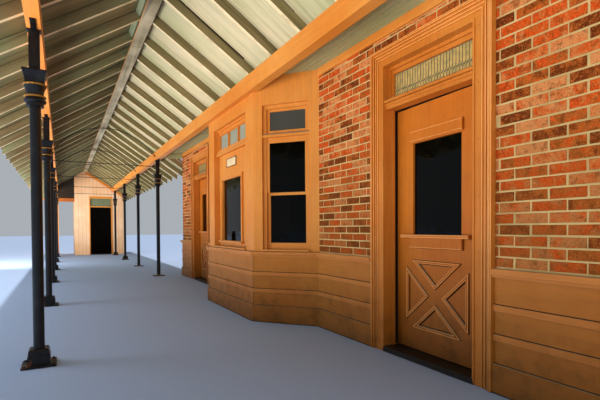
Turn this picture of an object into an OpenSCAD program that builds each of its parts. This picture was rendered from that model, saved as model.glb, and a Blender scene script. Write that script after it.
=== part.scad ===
// Small railway station: a brick building with a ticket bay, beside a covered platform walk
// on cast-iron columns, which runs on to a boarded store room under the same roof.
// X runs across the platform towards the building, Y along the platform, Z up.

/* [Platform cover] */
// Length of one bay, from column to column
bay_l = 3050; // [2700:10:3400]
// Distance between the two rows of columns
col_span = 2110; // [1900:10:2400]
// Slope of every roof in degrees
roof_pitch = 33.7; // [30:0.1:37]
// Reach of the rafters past a row of columns
eave_reach = 700; // [500:10:900]
// Reach of the roofs past their end walls
verge = 300; // [200:10:400]
// Width of a rafter
rafter_w = 45; // [38:1:60]
// Depth of a rafter of the platform cover
rafter_h = 95; // [80:1:120]
// Rafters in one bay
rafters_per_bay = 5; // [4:1:6]
// Depth of the seat cut into a rafter over its beam
rafter_seat = 15; // [8:1:25]
// Thickness of the roof boards
deck_t = 25; // [18:1:32]
// Thickness of the shingles
shingle_t = 22; // [15:1:30]
// Reach of the shingles past the boards at an eave
shingle_lip = 30; // [15:1:50]
// Width of the long beams
beam_w = 100; // [80:1:120]
// Depth of the long beams
beam_h = 190; // [160:1:220]
// Underside of the long beams above the platform
beam_z = 2650; // [2500:10:2800]
// Width of the board nailed under the ridge
ridge_plank_w = 130; // [100:1:180]
// Thickness of that board
plank_t = 22; // [16:1:30]
// Thickness of the ridge boards
ridge_t = 38; // [30:1:50]
// Width of a barge board
barge_h = 190; // [150:1:240]
// Thickness of a barge board
barge_t = 28; // [20:1:35]

/* [Columns] */
// Diameter of the shaft
shaft_d = 80; // [72:1:90]
// Side of the square foot plate
foot_w = 240; // [200:1:260]
// Thickness of the foot plate
foot_t = 12; // [8:1:20]
// Side of the lower plinth block
plinth_w = 156; // [145:1:175]
// Height of the lower plinth block
plinth_h = 78; // [60:1:90]
// Height of the upper plinth block
plinth_top_h = 38; // [30:1:50]
// Height where the capital starts
capital_z = 2050; // [1900:10:2150]
// Greatest diameter of the capital
capital_d = 168; // [150:1:180]
// Side of the square block on the capital, at its top
abacus_w = 170; // [160:1:190]
// Height of that block
abacus_h = 100; // [90:1:110]
// Side of the square post over the capital
post_w = 76; // [66:1:90]
// Reach of the iron arms under the beam past the post
arm_l = 200; // [120:5:240]
// Width of the iron straps and arms that hold the beam
strap_w = 40; // [35:1:50]
// Thickness of the iron strap
strap_t = 8; // [5:1:12]
// Diameter of the arched rods and the tie rods
rod_d = 15; // [12:1:20]
// Height of the tie rods
tie_z = 2500; // [2450:5:2560]
// Height of the feet of the arched rods
arch_foot_z = 2745; // [2710:5:2780]
// Gap between an arched rod and the rafters over it
arch_gap = 9; // [6:1:40]

/* [Building] */
// Gap between the building-side beam and the wall of the building
passage_w = 490; // [400:10:600]
// Depth of the building behind its platform wall
bldg_d = 4900; // [4000:50:5600]
// Thickness of the brick walls
wall_t = 230; // [200:5:300]
// Height of the boarded dado round the walls
dado_h = 810; // [700:10:900]
// Thickness of the floor
floor_t = 45; // [35:1:60]
// Thickness of the soffit and ceiling boards
board_t = 20; // [15:1:25]
// Depth of the frieze board under the soffit
frieze_h = 88; // [60:1:120]
// Depth of the plates on top of the walls
plate_h = 60; // [50:1:80]
// Width of the plates on top of the walls
plate_w = 100; // [80:1:140]
// Depth of a rafter of the building
main_rafter_h = 120; // [100:1:150]
// Reach of the building's roof past its back wall
back_reach = 450; // [300:10:600]
// Part of the platform-side wall that the building's roof passes
front_reach = 60; // [40:5:90]
// Thickness of the metal of the valley gutter
gutter_t = 6; // [4:1:10]

/* [Doors] */
// Distance from an end of the building to the middle of its door
door_in = 1500; // [1350:10:1650]
// Width of a door leaf
door_w = 914; // [800:1:1000]
// Height of a door leaf
door_h = 2040; // [1950:1:2060]
// Thickness of a door leaf
door_t = 45; // [35:1:55]
// Gap round a door leaf
door_gap = 7; // [7:1:9]
// Gap under a door leaf
door_under = 8; // [7:1:12]
// Distance of a door leaf behind the face of the wall
door_set = 100; // [85:1:120]
// Angle that the near door stands open
door_ajar = 2; // [0:1:5]
// Thickness of the door frame
jamb_t = 40; // [30:1:50]
// Width of the door casing
casing_w = 160; // [140:1:180]
// Thickness of the door casing
casing_t = 22; // [18:1:30]
// Underside of the fixed light over a door
over_z = 2190; // [2165:5:2210]
// Height of the fixed light over a door
over_h = 280; // [240:5:300]
// Height of the board over a door casing
head_h = 150; // [120:5:160]
// Width of the glass in a door
pane_w = 520; // [440:5:560]
// Underside of the glass in a door
pane_z = 1020; // [980:5:1060]
// Height of the glass in a door
pane_h = 765; // [700:5:800]
// Half the width of the crossed panel of a door
cross_w = 332; // [300:1:360]
// Half the height of the crossed panel
cross_h = 284; // [240:1:300]
// Middle of the crossed panel above the platform
cross_mid = 521; // [500:1:540]
// Width of the arms of the cross
cross_arm = 96; // [80:1:110]
// Height of the knob inside a door
knob_z = 960; // [900:5:1000]
// Distance of the outer hinges from the ends of a leaf
hinge_in = 250; // [180:5:350]
// Thickness of all glass
glass_t = 6; // [4:1:8]

/* [Ticket bay] */
// Distance of the bay's middle from the building's, towards the near door
bay_off = 35; // [0:5:200]
// Distance of the bay's front behind the face of the beam
bay_back = 70; // [40:5:90]
// Width of the front of the bay
bay_front = 1720; // [1600:10:1800]
// Length of wall that each slanting side takes up
bay_run = 610; // [520:10:680]
// Width of a corner post on a slanting side
post_face = 110; // [90:1:130]
// Width of a corner post on the front
front_post_face = 245; // [220:5:270]
// Thickness of the bay's walls
bay_t = 130; // [115:1:150]
// Height of the undersides of the window sills over the dado
sill_gap = 8; // [2:1:20]
// Height of the heads of the windows
head_z = 2490; // [2450:5:2520]
// Distance of the window frames behind the face
frame_set = 35; // [25:1:40]
// Distance of the front panels behind the face
panel_set = 80; // [70:1:90]
// Width of the frame round a window
frame_w = 40; // [30:1:50]
// Width of a window sash's bars
sash_w = 32; // [25:1:40]
// Height of the meeting rails
meet_z = 1475; // [1400:5:1550]
// Height of the bar under the top lights
bar_z = 2120; // [2080:5:2150]
// Depth of that bar
bar_h = 50; // [40:1:60]
// Distance of the wide sash from the far post of the front
front_sash_x = 115; // [80:5:150]
// Width of the wide sash in the front window
front_sash_w = 826; // [760:2:860]
// Underside of the sill of the wide sash
front_foot_z = 885; // [870:1:900]
// Height of the head of the wide sash
front_sash_z = 1805; // [1750:5:1850]
// Underside of the glass of the top lights in the front
top_light_z = 2220; // [2210:5:2230]
// Height of that glass
top_light_h = 190; // [170:5:200]
// Height of the middle of the sign plate
sign_z = 1985; // [1940:5:2020]
// Width of the sign plate
sign_w = 355; // [280:5:380]
// Height of the sign plate
sign_h = 112; // [80:2:130]

/* [Building windows] */
// Width of the windows at the back and in the ends
win_w = 900; // [700:10:1000]

/* [Store room] */
// Distance from the last columns to the store room
store_gap = 800; // [600:10:1000]
// Length of the store room
store_l = 2400; // [2000:50:3000]
// Distance of its wall from the track-side columns
store_in = 640; // [500:10:760]
// Thickness of its boarded walls
store_t = 100; // [80:5:120]
// Distance of its far wall past the building-side columns
store_out = 490; // [400:10:560]
// Thickness of its floor
store_floor_t = 30; // [20:1:40]
// Width of its doorway
store_door_w = 810; // [700:10:900]
// Distance of the doorway from its wall
store_door_in = 580; // [480:10:700]
// Height of its doorway
store_door_h = 2000; // [1900:10:2080]
// Height of the panel over the doorway
store_panel_h = 330; // [280:5:360]
// Underside of the cross beam beside it
tail_z = 2210; // [2100:10:2300]
// Depth of that cross beam
tail_h = 140; // [120:5:180]

/* [Hidden] */

$fn = 48;

// Bays of the whole cover, and of the building beside it
cover_bays = 6;
bldg_bays = 3;

// Hairline between pieces that meet on a mitre or on a slanting face
joint_gap = 0.4;

roof_slope = tan(roof_pitch);
function plumb(t) = t / cos(roof_pitch);

// Platform cover
beam_top = beam_z + beam_h;
ridge_x = col_span / 2;
ridge_z = beam_top - rafter_seat + ridge_x * roof_slope;
rafter_gap = bay_l / rafters_per_bay;
function cover_z(x) = ridge_z - abs(x - ridge_x) * roof_slope;
rafter_v = plumb(rafter_h);
deck_low = rafter_v + joint_gap;
deck_v = plumb(deck_t);
shingle_v = plumb(shingle_t);

// Building
bldg_l = bldg_bays * bay_l;
bldg_x0 = col_span + beam_w / 2 + passage_w;
bldg_x1 = bldg_x0 + bldg_d;
wall_h = beam_top;
soffit_z = wall_h - board_t;
plate_z = wall_h + plate_h;
main_ridge_x = bldg_x0 + bldg_d / 2;
main_ridge_z = plate_z - rafter_seat + bldg_d / 2 * roof_slope;
function main_z(x) = main_ridge_z - abs(x - main_ridge_x) * roof_slope;
main_rafter_v = plumb(main_rafter_h);
main_deck_low = main_rafter_v + joint_gap;
main_x0 = bldg_x0 - front_reach;
main_x1 = bldg_x1 + back_reach;

// Ends of the cover and of the store room
cover_l = cover_bays * bay_l;
store_y0 = cover_l + store_gap;
store_y1 = store_y0 + store_l;
store_x0 = store_in;
store_x1 = col_span + store_out;
cover_y0 = -verge;
cover_y1 = store_y1 + verge;
eave_x0 = -eave_reach;
eave_x1 = col_span + eave_reach;

// Middle of the whole plan, which becomes the origin
mid_x = (eave_x0 - shingle_lip + main_x1 + shingle_lip) / 2;
mid_y = (cover_y0 + cover_y1) / 2;

// Doors
door_y = [door_in, bldg_l - door_in];
door_open_h = door_w / 2 + door_gap + jamb_t;
door_z0 = floor_t + door_under;
door_z1 = door_z0 + door_h;
door_head_z = over_z + over_h + jamb_t;
casing_y = door_w / 2 + door_gap + casing_w;
light_lip = 16;
light_top = 60;
hinge_r = 7;
hinge_x = door_set + door_t + hinge_r + 1;
hinge_y = -door_w / 2 - door_gap / 2;
hinge_l = 45;
hinge_gap = 0.3;
hinge_zs = [door_z0 + hinge_in, door_z0 + door_h / 2, door_z0 + door_h - hinge_in];

// Ticket bay
bay_y = bldg_l / 2 - bay_off;
bay_proj = passage_w + beam_w - bay_back;
bay_side_l = sqrt(bay_run * bay_run + bay_proj * bay_proj);
bay_y0 = bay_y - bay_front / 2 - bay_run;
bay_y1 = bay_y + bay_front / 2 + bay_run;
bay_x = bldg_x0 - bay_proj;

// Where the bay starts, from the near and from the far end of the building
bay_edge = [bay_y0, bldg_l - bay_y1];

// Corner of the bay's outline moved out by d, where the slanting side crosses the line at x
function bay_side_y(x, d) = (bay_run * (bldg_x0 - x) - d * bay_side_l) / bay_proj;
function bay_outline(d, x_end) = [
    [x_end, bay_y0 + bay_side_y(x_end, d)], [bay_x - d, bay_y0 + bay_side_y(bay_x - d, d)],
    [bay_x - d, bay_y1 - bay_side_y(bay_x - d, d)], [x_end, bay_y1 - bay_side_y(x_end, d)]];

// Underside of the sills of the bay and of the other windows
sill_z = dado_h + sill_gap;

// Dado boards as bottom, top and projection, from the base board up to the cap, with a raised
// strip over each board but the top one, and a bed mould under the cap
dado_base_h = 190;
dado_bed_h = 20;
dado_cap_h = 36;
dado_strip_h = 43;
dado_boards = 3;
dado_board_h = 150;
dado_board_z = [for (i = [0 : dado_boards - 1]) dado_base_h + i * (dado_board_h + dado_strip_h)];
dado_cap_z = dado_h - dado_cap_h;
base_out = 35;
board_out = 18;
strip_out = 28;
bed_out = 40;
cap_out = 56;
dado_levels = concat(
    [[0, dado_base_h, base_out]],
    [for (i = [0 : dado_boards - 2], part = [0, 1])
        let (top = dado_board_z[i] + dado_board_h)
        part == 0 ? [dado_board_z[i], top, board_out] : [top, top + dado_strip_h, strip_out]],
    [[dado_board_z[dado_boards - 1], dado_cap_z - dado_bed_h, board_out],
     [dado_cap_z - dado_bed_h, dado_cap_z, bed_out], [dado_cap_z, dado_h, cap_out]]);

// Windows at the back and in the ends, by the middle of each
back_windows = [for (i = [0 : bldg_bays - 1]) (i + 0.5) * bay_l];

// Colours
orange = [0.87, 0.52, 0.23];
door_orange = [0.78, 0.44, 0.16];
brown_orange = [0.72, 0.42, 0.20];
brick_red = [0.70, 0.36, 0.25];
olive = [0.59, 0.59, 0.39];
cream = [0.78, 0.75, 0.56];
shingle_grey = [0.42, 0.38, 0.32];
iron_black = [0.10, 0.11, 0.11];
zinc = [0.55, 0.57, 0.58];
floor_brown = [0.45, 0.33, 0.22];

// The whole station, moved so that the middle of its plan is the origin
module at_site() {
    translate([-mid_x, -mid_y, 0]) children();
}

// A flat shape drawn in X and Z, carried along Y from y0 to y1
module along_y(y0, y1) {
    translate([0, y1, 0]) rotate([90, 0, 0]) linear_extrude(y1 - y0) children();
}

// A block between two corners
module block(a, b) {
    translate(a) cube(b - a);
}

// One layer of a roof slope, from x0 to x1, between two heights over the rafters' underside
module cover_layer(x0, x1, low, high) {
    polygon([[x0, cover_z(x0) + low], [x1, cover_z(x1) + low],
             [x1, cover_z(x1) + high], [x0, cover_z(x0) + high]]);
}

module main_layer(x0, x1, low, high) {
    polygon([[x0, main_z(x0) + low], [x1, main_z(x1) + low],
             [x1, main_z(x1) + high], [x0, main_z(x0) + high]]);
}

// Floor of the room and of the bay
module station_floor() {
    color(floor_brown) at_site() {
        block([bldg_x0 + wall_t, wall_t, 0], [bldg_x1 - wall_t, bldg_l - wall_t, floor_t]);
        linear_extrude(floor_t) polygon(bay_outline(-bay_t - joint_gap, bldg_x0));
        block([bldg_x0, bay_y0, 0], [bldg_x0 + wall_t, bay_y1, floor_t]);
    }
}

// A length of the platform wall
module front_wall(y0, y1, z0) {
    color(brick_red) at_site() block([bldg_x0, y0, z0], [bldg_x0 + wall_t, y1, wall_h]);
}

module front_wall_near() { front_wall(0, door_y[0] - door_open_h, 0); }
module near_door_head_wall() { front_wall(door_y[0] - door_open_h, door_y[0] + door_open_h, door_head_z); }
module front_wall_near_pier() { front_wall(door_y[0] + door_open_h, bay_y0, 0); }
module front_wall_far_pier() { front_wall(bay_y1, door_y[1] - door_open_h, 0); }
module far_door_head_wall() { front_wall(door_y[1] - door_open_h, door_y[1] + door_open_h, door_head_z); }
module front_wall_far() { front_wall(door_y[1] + door_open_h, bldg_l, 0); }

// An end wall with its gable over the side walls, and a window in the middle
module end_wall(y0) {
    color(brick_red) at_site() difference() {
        along_y(y0, y0 + wall_t) polygon([
            [bldg_x0 + wall_t, 0], [bldg_x1 - wall_t, 0], [bldg_x1 - wall_t, wall_h],
            [bldg_x1, wall_h], [bldg_x1, main_z(bldg_x1) - joint_gap], [main_ridge_x, main_ridge_z - joint_gap],
            [bldg_x0, main_z(bldg_x0) - joint_gap], [bldg_x0, wall_h], [bldg_x0 + wall_t, wall_h]]);
        block([main_ridge_x - win_w / 2, y0 - 1, sill_z], [main_ridge_x + win_w / 2, y0 + wall_t + 1, head_z]);
    }
}

module near_end_wall() { end_wall(0); }
module far_end_wall() { end_wall(bldg_l - wall_t); }

module back_wall() {
    color(brick_red) at_site() difference() {
        block([bldg_x1 - wall_t, 0, 0], [bldg_x1, bldg_l, wall_h]);
        for (y = back_windows)
            block([bldg_x1 - wall_t - 1, y - win_w / 2, sill_z], [bldg_x1 + 1, y + win_w / 2, head_z]);
    }
}

// A band on the platform wall that projects by out; it stops square at a door casing and
// meets the bay on a mitre
module front_band(z0, z1, out) {
    mitre_y = (bay_run - bay_side_l) * out / bay_proj;
    at_site() translate([0, 0, z0]) linear_extrude(z1 - z0) {
        for (flip = [0, 1]) translate([0, flip * bldg_l]) mirror([0, flip]) {
            polygon([[bldg_x0 - out, 0], [bldg_x0, 0], [bldg_x0, door_in - casing_y],
                     [bldg_x0 - out, door_in - casing_y]]);
            polygon([[bldg_x0 - out, door_in + casing_y], [bldg_x0, door_in + casing_y],
                     [bldg_x0, bay_edge[flip]], [bldg_x0 - out, bay_edge[flip] + mitre_y]]);
        }
    }
}

module front_dado() {
    color(brown_orange) for (level = dado_levels) front_band(level[0], level[1], level[2]);
}

// Hairline along the mitre at each front corner of the bay
module bay_mitres() {
    for (i = [1, 2]) {
        a = bay_outline(cap_out + 1, bldg_x0)[i];
        b = bay_outline(-bay_t - 1, bldg_x0)[i];
        translate(a) rotate(atan2(b[1] - a[1], b[0] - a[0])) translate([0, -joint_gap / 2])
            square([norm(b - a), joint_gap]);
    }
}

// A band round the outside of the bay, of three boards that meet on mitres
module bay_band(z0, z1, out) {
    at_site() translate([0, 0, z0]) linear_extrude(z1 - z0) difference() {
        polygon(concat([[bldg_x0, bay_y0]], [bay_outline(out, bldg_x0 - out)[0]],
                       [bay_outline(out, bldg_x0)[1], bay_outline(out, bldg_x0)[2]],
                       [bay_outline(out, bldg_x0 - out)[3]], [[bldg_x0, bay_y1]]));
        polygon(bay_outline(0, bldg_x0));
        bay_mitres();
    }
}

module bay_dado() {
    color(brown_orange) for (level = dado_levels) bay_band(level[0], level[1], level[2]);
}

// The same dado round the ends and the back
module rear_dado() {
    color(brown_orange) at_site() for (level = dado_levels) {
        out = level[2];
        block([bldg_x0 - out, -out, level[0]], [bldg_x1 + out, 0, level[1]]);
        block([bldg_x0 - out, bldg_l, level[0]], [bldg_x1 + out, bldg_l + out, level[1]]);
        block([bldg_x1, joint_gap, level[0]], [bldg_x1 + out, bldg_l - joint_gap, level[1]]);
    }
}

// Frieze board under the soffit, over the doors as well
module front_frieze() {
    mitre_y = (bay_run - bay_side_l) * casing_t / bay_proj;
    color(orange) at_site() translate([0, 0, soffit_z - frieze_h]) linear_extrude(frieze_h)
        for (flip = [0, 1]) translate([0, flip * bldg_l]) mirror([0, flip])
            polygon([[bldg_x0 - casing_t, 0], [bldg_x0, 0], [bldg_x0, bay_edge[flip]],
                     [bldg_x0 - casing_t, bay_edge[flip] + mitre_y]]);
}

// Level boards between the building-side beam and the wall, over the bay as well
module platform_soffit() {
    color(olive) at_site()
        block([col_span + beam_w / 2, 0, soffit_z], [bldg_x0, bldg_l, wall_h]);
}

module soffit_end_board() {
    color(olive) at_site()
        block([col_span + beam_w / 2, bldg_l - board_t, soffit_z - frieze_h - 40], [bldg_x0 - casing_t, bldg_l, soffit_z]);
}

module room_ceiling() {
    color(cream) at_site() {
        block([bldg_x0 + wall_t, wall_t, soffit_z], [bldg_x1 - wall_t, bldg_l - wall_t, wall_h]);
        block([bldg_x0, bay_y0, soffit_z], [bldg_x0 + wall_t, bay_y1, wall_h]);
    }
}

// Metal tray between the slope of the cover and the roof of the building, with an upstand on
// each side
module valley_gutter() {
    x0 = col_span + beam_w / 2;
    rim = wall_h + 90;
    tray_z = wall_h + gutter_t;
    color(zinc) at_site() {
        block([x0, 0, wall_h], [main_x0, bldg_l, tray_z]);
        for (x = [x0, main_x0 - gutter_t])
            block([x, 0, tray_z + joint_gap], [x + gutter_t, bldg_l, rim]);
    }
}

module wall_plates() {
    color(floor_brown) at_site() for (x = [bldg_x0, bldg_x1 - plate_w])
        block([x, wall_t, wall_h], [x + plate_w, bldg_l - wall_t, plate_z]);
}

// Wall of the bay between two heights, whole or split at the mitres
module bay_ring(z0, z1, split) {
    translate([0, 0, z0]) linear_extrude(z1 - z0) difference() {
        polygon(bay_outline(0, bldg_x0));
        polygon(bay_outline(-bay_t, bldg_x0 + 1));
        if (split) bay_mitres();
    }
}

// One face of the bay, drawn with X along it, Y into the room and Z up
module on_bay_face(side) {
    corners = bay_outline(0, bldg_x0);
    start = corners[side + 1];
    end = corners[side];
    translate([start[0], start[1], 0])
        rotate([0, 0, atan2(end[1] - start[1], end[0] - start[0])]) children();
}

bay_open_w = [bay_side_l - 2 * post_face, bay_front - 2 * front_post_face, bay_side_l - 2 * post_face];
bay_open_x = [post_face, front_post_face, post_face];

module bay_base() {
    color(brown_orange) at_site() bay_ring(0, sill_z, true);
}

module bay_posts() {
    color(orange) at_site() difference() {
        bay_ring(sill_z, head_z, false);
        for (side = [0 : 2])
            on_bay_face(side) translate([bay_open_x[side], -1, sill_z - 1])
                cube([bay_open_w[side], bay_t + 60, head_z - sill_z + 2]);
    }
}

module bay_head() {
    color(orange) at_site() difference() {
        bay_ring(head_z, soffit_z, true);
        block([col_span - beam_w / 2 - 1, bay_y0, beam_z], [col_span + beam_w / 2, bay_y1, soffit_z + 1]);
    }
}

// Lights of a sash window as left edge, bottom, width and height
sill_h = 17;
foot_rail = 75;
head_rail = 62;
sash_rails = [[foot_rail, sash_w], [sash_w, head_rail], [sash_w, sash_w]];
function sash_light(w, z0, z1) = [frame_w + sash_w, z0, w - 2 * (frame_w + sash_w), z1 - z0];
function sash_lights(w) = [
    sash_light(w, sill_z + sill_h + foot_rail, meet_z - sash_w / 2),
    sash_light(w, meet_z + sash_w / 2, bar_z - head_rail),
    sash_light(w, bar_z + bar_h + sash_w, head_z - frame_w - sash_w)];

sash_y = [72, 48, 60];
sash_t = 28;
sill_out = 30;

// Frame, sill, two sashes and a top light
module sash_window(w) {
    lights = sash_lights(w);
    difference() {
        translate([0, frame_set, sill_z]) cube([w, bay_t - frame_set, head_z - joint_gap - sill_z]);
        for (part = [0 : 2]) {
            light = lights[part];
            rails = sash_rails[part];
            translate([light[0] - sash_w, frame_set - 1, light[1] - rails[0]])
                cube([light[2] + 2 * sash_w, sash_y[part] - frame_set + 1, light[3] + rails[0] + rails[1]]);
            translate([light[0] - sash_w, sash_y[part] + sash_t, light[1] - rails[0]])
                cube([light[2] + 2 * sash_w, bay_t, light[3] + rails[0] + rails[1]]);
            translate([light[0], 0, light[1]]) cube([light[2], bay_t + 1, light[3]]);
        }
    }
    translate([0, -sill_out, sill_z]) cube([w, sill_out + frame_set, sill_h]);
    // Sill of the top light, with its sloping top
    translate([0, 0, bar_z]) rotate([90, 0, 90]) linear_extrude(w)
        polygon([[8, 0], [frame_set, 0], [frame_set, bar_h], [8, bar_h - 22]]);
}

module sash_glass(w) {
    lights = sash_lights(w);
    for (part = [0 : 2])
        translate([lights[part][0], sash_y[part] + (sash_t - glass_t) / 2, lights[part][1]])
            cube([lights[part][2], glass_t, lights[part][3]]);
}

// Front window of the bay: one wide sash between panels and three top lights
front_w = bay_front - 2 * front_post_face;
front_sash_bar = 50;
front_sill_h = 25;
front_light = [front_sash_x + front_sash_bar, front_foot_z + front_sill_h + 2,
               front_sash_w - 2 * front_sash_bar, front_sash_z - 43 - front_foot_z - front_sill_h - 2];
top_lights = 3;
top_bar = 36;
top_light_w = (front_w - 2 * frame_w - (top_lights + 1) * top_bar) / top_lights;

module front_holes(y0, y1) {
    translate([front_light[0], y0, front_light[1]]) cube([front_light[2], y1 - y0, front_light[3]]);
    for (i = [0 : top_lights - 1])
        translate([frame_w + top_bar + i * (top_light_w + top_bar), y0, top_light_z])
            cube([top_light_w, y1 - y0, top_light_h]);
}

module bay_front_window() {
    casing_out = 22;
    step = 16;
    rail_z = bar_z + bar_h;
    frame_top = head_z - joint_gap;
    color(orange) at_site() on_bay_face(1) translate([front_post_face, 0, 0]) {
        difference() {
            translate([0, panel_set, sill_z]) cube([front_w, bay_t - panel_set, frame_top - sill_z]);
            front_holes(panel_set - 1, bay_t + 1);
        }
        // Stepped frame round the top lights, over a sill with a sloping top
        difference() {
            translate([0, panel_set - 2 * step, rail_z]) cube([front_w, 2 * step, frame_top - rail_z]);
            translate([frame_w - step, panel_set - 2 * step - 1, rail_z + 14])
                cube([front_w - 2 * (frame_w - step), step + 1, frame_top - rail_z - 38]);
            for (i = [0 : top_lights - 1])
                translate([frame_w + top_bar - 12 + i * (top_light_w + top_bar), 0, top_light_z - 12])
                    cube([top_light_w + 24, panel_set + 1, top_light_h + 24]);
        }
        translate([0, 0, bar_z]) rotate([90, 0, 90]) linear_extrude(front_w)
            polygon([[panel_set - 45, 0], [panel_set, 0], [panel_set, bar_h], [panel_set - 2 * step, bar_h],
                     [panel_set - 45, bar_h - 24]]);
        // Raised casing round the wide sash, its sill, and the taller batten on the near side
        difference() {
            translate([front_sash_x, panel_set - casing_out, front_foot_z + front_sill_h])
                cube([front_sash_w, casing_out, front_sash_z - front_foot_z - front_sill_h]);
            translate([front_sash_x + front_sash_bar - 14, panel_set - casing_out - 1, front_light[1]])
                cube([front_light[2] + 28, casing_out - 9, front_light[3] + 14]);
            front_holes(0, bay_t);
        }
        translate([front_sash_x - 30, panel_set - casing_out - 28, front_foot_z])
            cube([front_sash_w + 60, casing_out + 28, front_sill_h]);
        translate([front_w - 195, panel_set - casing_out, front_foot_z]) cube([90, casing_out, front_sash_z + 60 - front_foot_z]);
        // Sill of the whole front
        translate([0, -sill_out, sill_z]) cube([front_w, sill_out + panel_set, sill_h]);
    }
}

module bay_side_windows() {
    color(orange) at_site() for (side = [0, 2])
        on_bay_face(side) translate([bay_open_x[side], 0, 0]) sash_window(bay_open_w[side]);
}

// Arched hole at the foot of a pane, as high as its sides and a half round
module ticket_hole() {
    hole_w = 165;
    side_h = 50;
    translate([-hole_w / 2, 0, -1]) cube([hole_w, bay_t, side_h + 1]);
    translate([0, 0, side_h]) rotate([-90, 0, 0]) cylinder(d = hole_w, h = bay_t);
}

module bay_glass() {
    color("darkslategray") at_site() {
        for (side = [0, 2])
            on_bay_face(side) translate([bay_open_x[side], 0, 0]) sash_glass(bay_open_w[side]);
        on_bay_face(1) translate([front_post_face, 0, 0]) difference() {
            front_holes(panel_set + 18, panel_set + 18 + glass_t);
            translate([front_light[0] + front_light[2] / 2, panel_set, front_light[1]])
                ticket_hole();
        }
    }
}

// Bare plate on the panel over the wide sash
module sign_plate() {
    plate_t = 9;
    color("white") at_site() on_bay_face(1)
        translate([front_post_face + front_sash_x + front_sash_w / 2 - sign_w / 2, panel_set - plate_t, sign_z - sign_h / 2])
            cube([sign_w, plate_t, sign_h]);
}

// A door, drawn with the face of the wall at X 0, X into the room and the doorway's middle at Y 0
module at_door(which) {
    at_site() translate([bldg_x0, door_y[which], 0]) children();
}

// One step of the casing's profile, from d0 to d1 outside the frame's opening and t thick. It runs
// up one side, across the top and down the other; the top is head_h high.
module casing_step(d0, d1, t) {
    inner = door_open_h - jamb_t;
    top0 = over_z + over_h + (d0 > casing_w / 3 ? d0 + head_h - casing_w : d0);
    top1 = over_z + over_h + (d1 > casing_w / 3 ? d1 + head_h - casing_w : d1);
    translate([-t, 0, 0]) rotate([90, 0, 90]) linear_extrude(t) difference() {
        translate([-inner - d1, 0]) square([2 * (inner + d1), top1]);
        translate([-inner - d0, -1]) square([2 * (inner + d0), top0 + 1]);
    }
}

// Frame with its threshold, the bar and the fixed light's opening, stops and casing
module door_frame() {
    depth = door_set + door_t;
    inner = door_open_h - jamb_t;
    stop_x = door_set - 5 - 30;
    stop_w = 12;
    for (side = [-1, 1]) {
        block([0, side > 0 ? inner : -door_open_h, 0], [depth, side > 0 ? door_open_h : -inner, door_head_z]);
        block([stop_x, side > 0 ? inner - stop_w : -inner, floor_t],
              [stop_x + 30, side > 0 ? inner : -inner + stop_w, over_z]);
    }
    // Casing: a flat board with a bead inside, two ridges, and a raised band at its outer edge
    casing_step(0, casing_w, casing_t);
    casing_step(0, 14, casing_t + 8);
    casing_step(casing_w - 92, casing_w - 80, casing_t + 6);
    casing_step(casing_w - 64, casing_w - 54, casing_t + 6);
    casing_step(casing_w - 40, casing_w - 22, casing_t + 12);
    casing_step(casing_w - 22, casing_w, casing_t + 24);
    // Threshold, bar over the leaf, and head
    block([-30, -inner, 0], [depth, inner, floor_t]);
    block([0, -inner, door_z1 + door_gap], [depth, inner, over_z]);
    block([-8, -inner, over_z - 62], [0, inner, over_z - 40]);
    along_y(-inner, inner) polygon([[0, over_z - 36], [-22, over_z - 36], [-22, over_z - 14], [0, over_z]]);
    block([0, -inner, over_z + over_h], [depth, inner, door_head_z]);
    // Two steps of rim that hold the fixed light
    difference() {
        block([40, -inner, over_z], [depth - 20, inner, over_z + over_h]);
        block([39, -inner + 14, over_z + 8], [62, inner - 14, over_z + over_h - 26]);
        block([39, -inner + 30, over_z + light_lip], [depth, inner - 30, over_z + over_h - light_top]);
    }
    // Lower knuckle of each hinge, with its plate on the end of the jamb
    for (z = hinge_zs) {
        translate([hinge_x, hinge_y, z]) cylinder(r = hinge_r, h = hinge_l);
        block([depth, hinge_y - 30, z], [depth + 3, hinge_y, z + hinge_l]);
    }
}

// Inner and outer outline of a moulding round a triangle
function side_len(a, b) = norm(b - a);
function tri_centre(p) = let (a = side_len(p[1], p[2]), b = side_len(p[2], p[0]), c = side_len(p[0], p[1]))
    (a * p[0] + b * p[1] + c * p[2]) / (a + b + c);
function tri_inradius(p) = let (a = side_len(p[1], p[2]), b = side_len(p[2], p[0]), c = side_len(p[0], p[1]), s = (a + b + c) / 2)
    sqrt((s - a) * (s - b) * (s - c) / s);
function tri_inset(p, d) = let (m = tri_centre(p), k = 1 - d / tri_inradius(p)) [for (q = p) m + k * (q - m)];

// Lower panel of a leaf: four triangles left between the arms of a cross
cross_angle = atan(cross_h / cross_w);
cross_dy = cross_arm / 2 / sin(cross_angle);
cross_dz = cross_arm / 2 / cos(cross_angle);
cross_tris = [for (side = [-1, 1], upright = [0, 1])
    upright == 0
    ? [[-side * (cross_w - cross_dy), cross_mid + side * cross_h],
       [side * (cross_w - cross_dy), cross_mid + side * cross_h], [0, cross_mid + side * cross_dz]]
    : [[side * cross_w, cross_mid - side * (cross_h - cross_dz)],
       [side * cross_w, cross_mid + side * (cross_h - cross_dz)], [side * cross_dy, cross_mid]]];

module on_leaf(x0, x1) {
    translate([x0, 0, 0]) rotate([90, 0, 90]) linear_extrude(x1 - x0) children();
}

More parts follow.
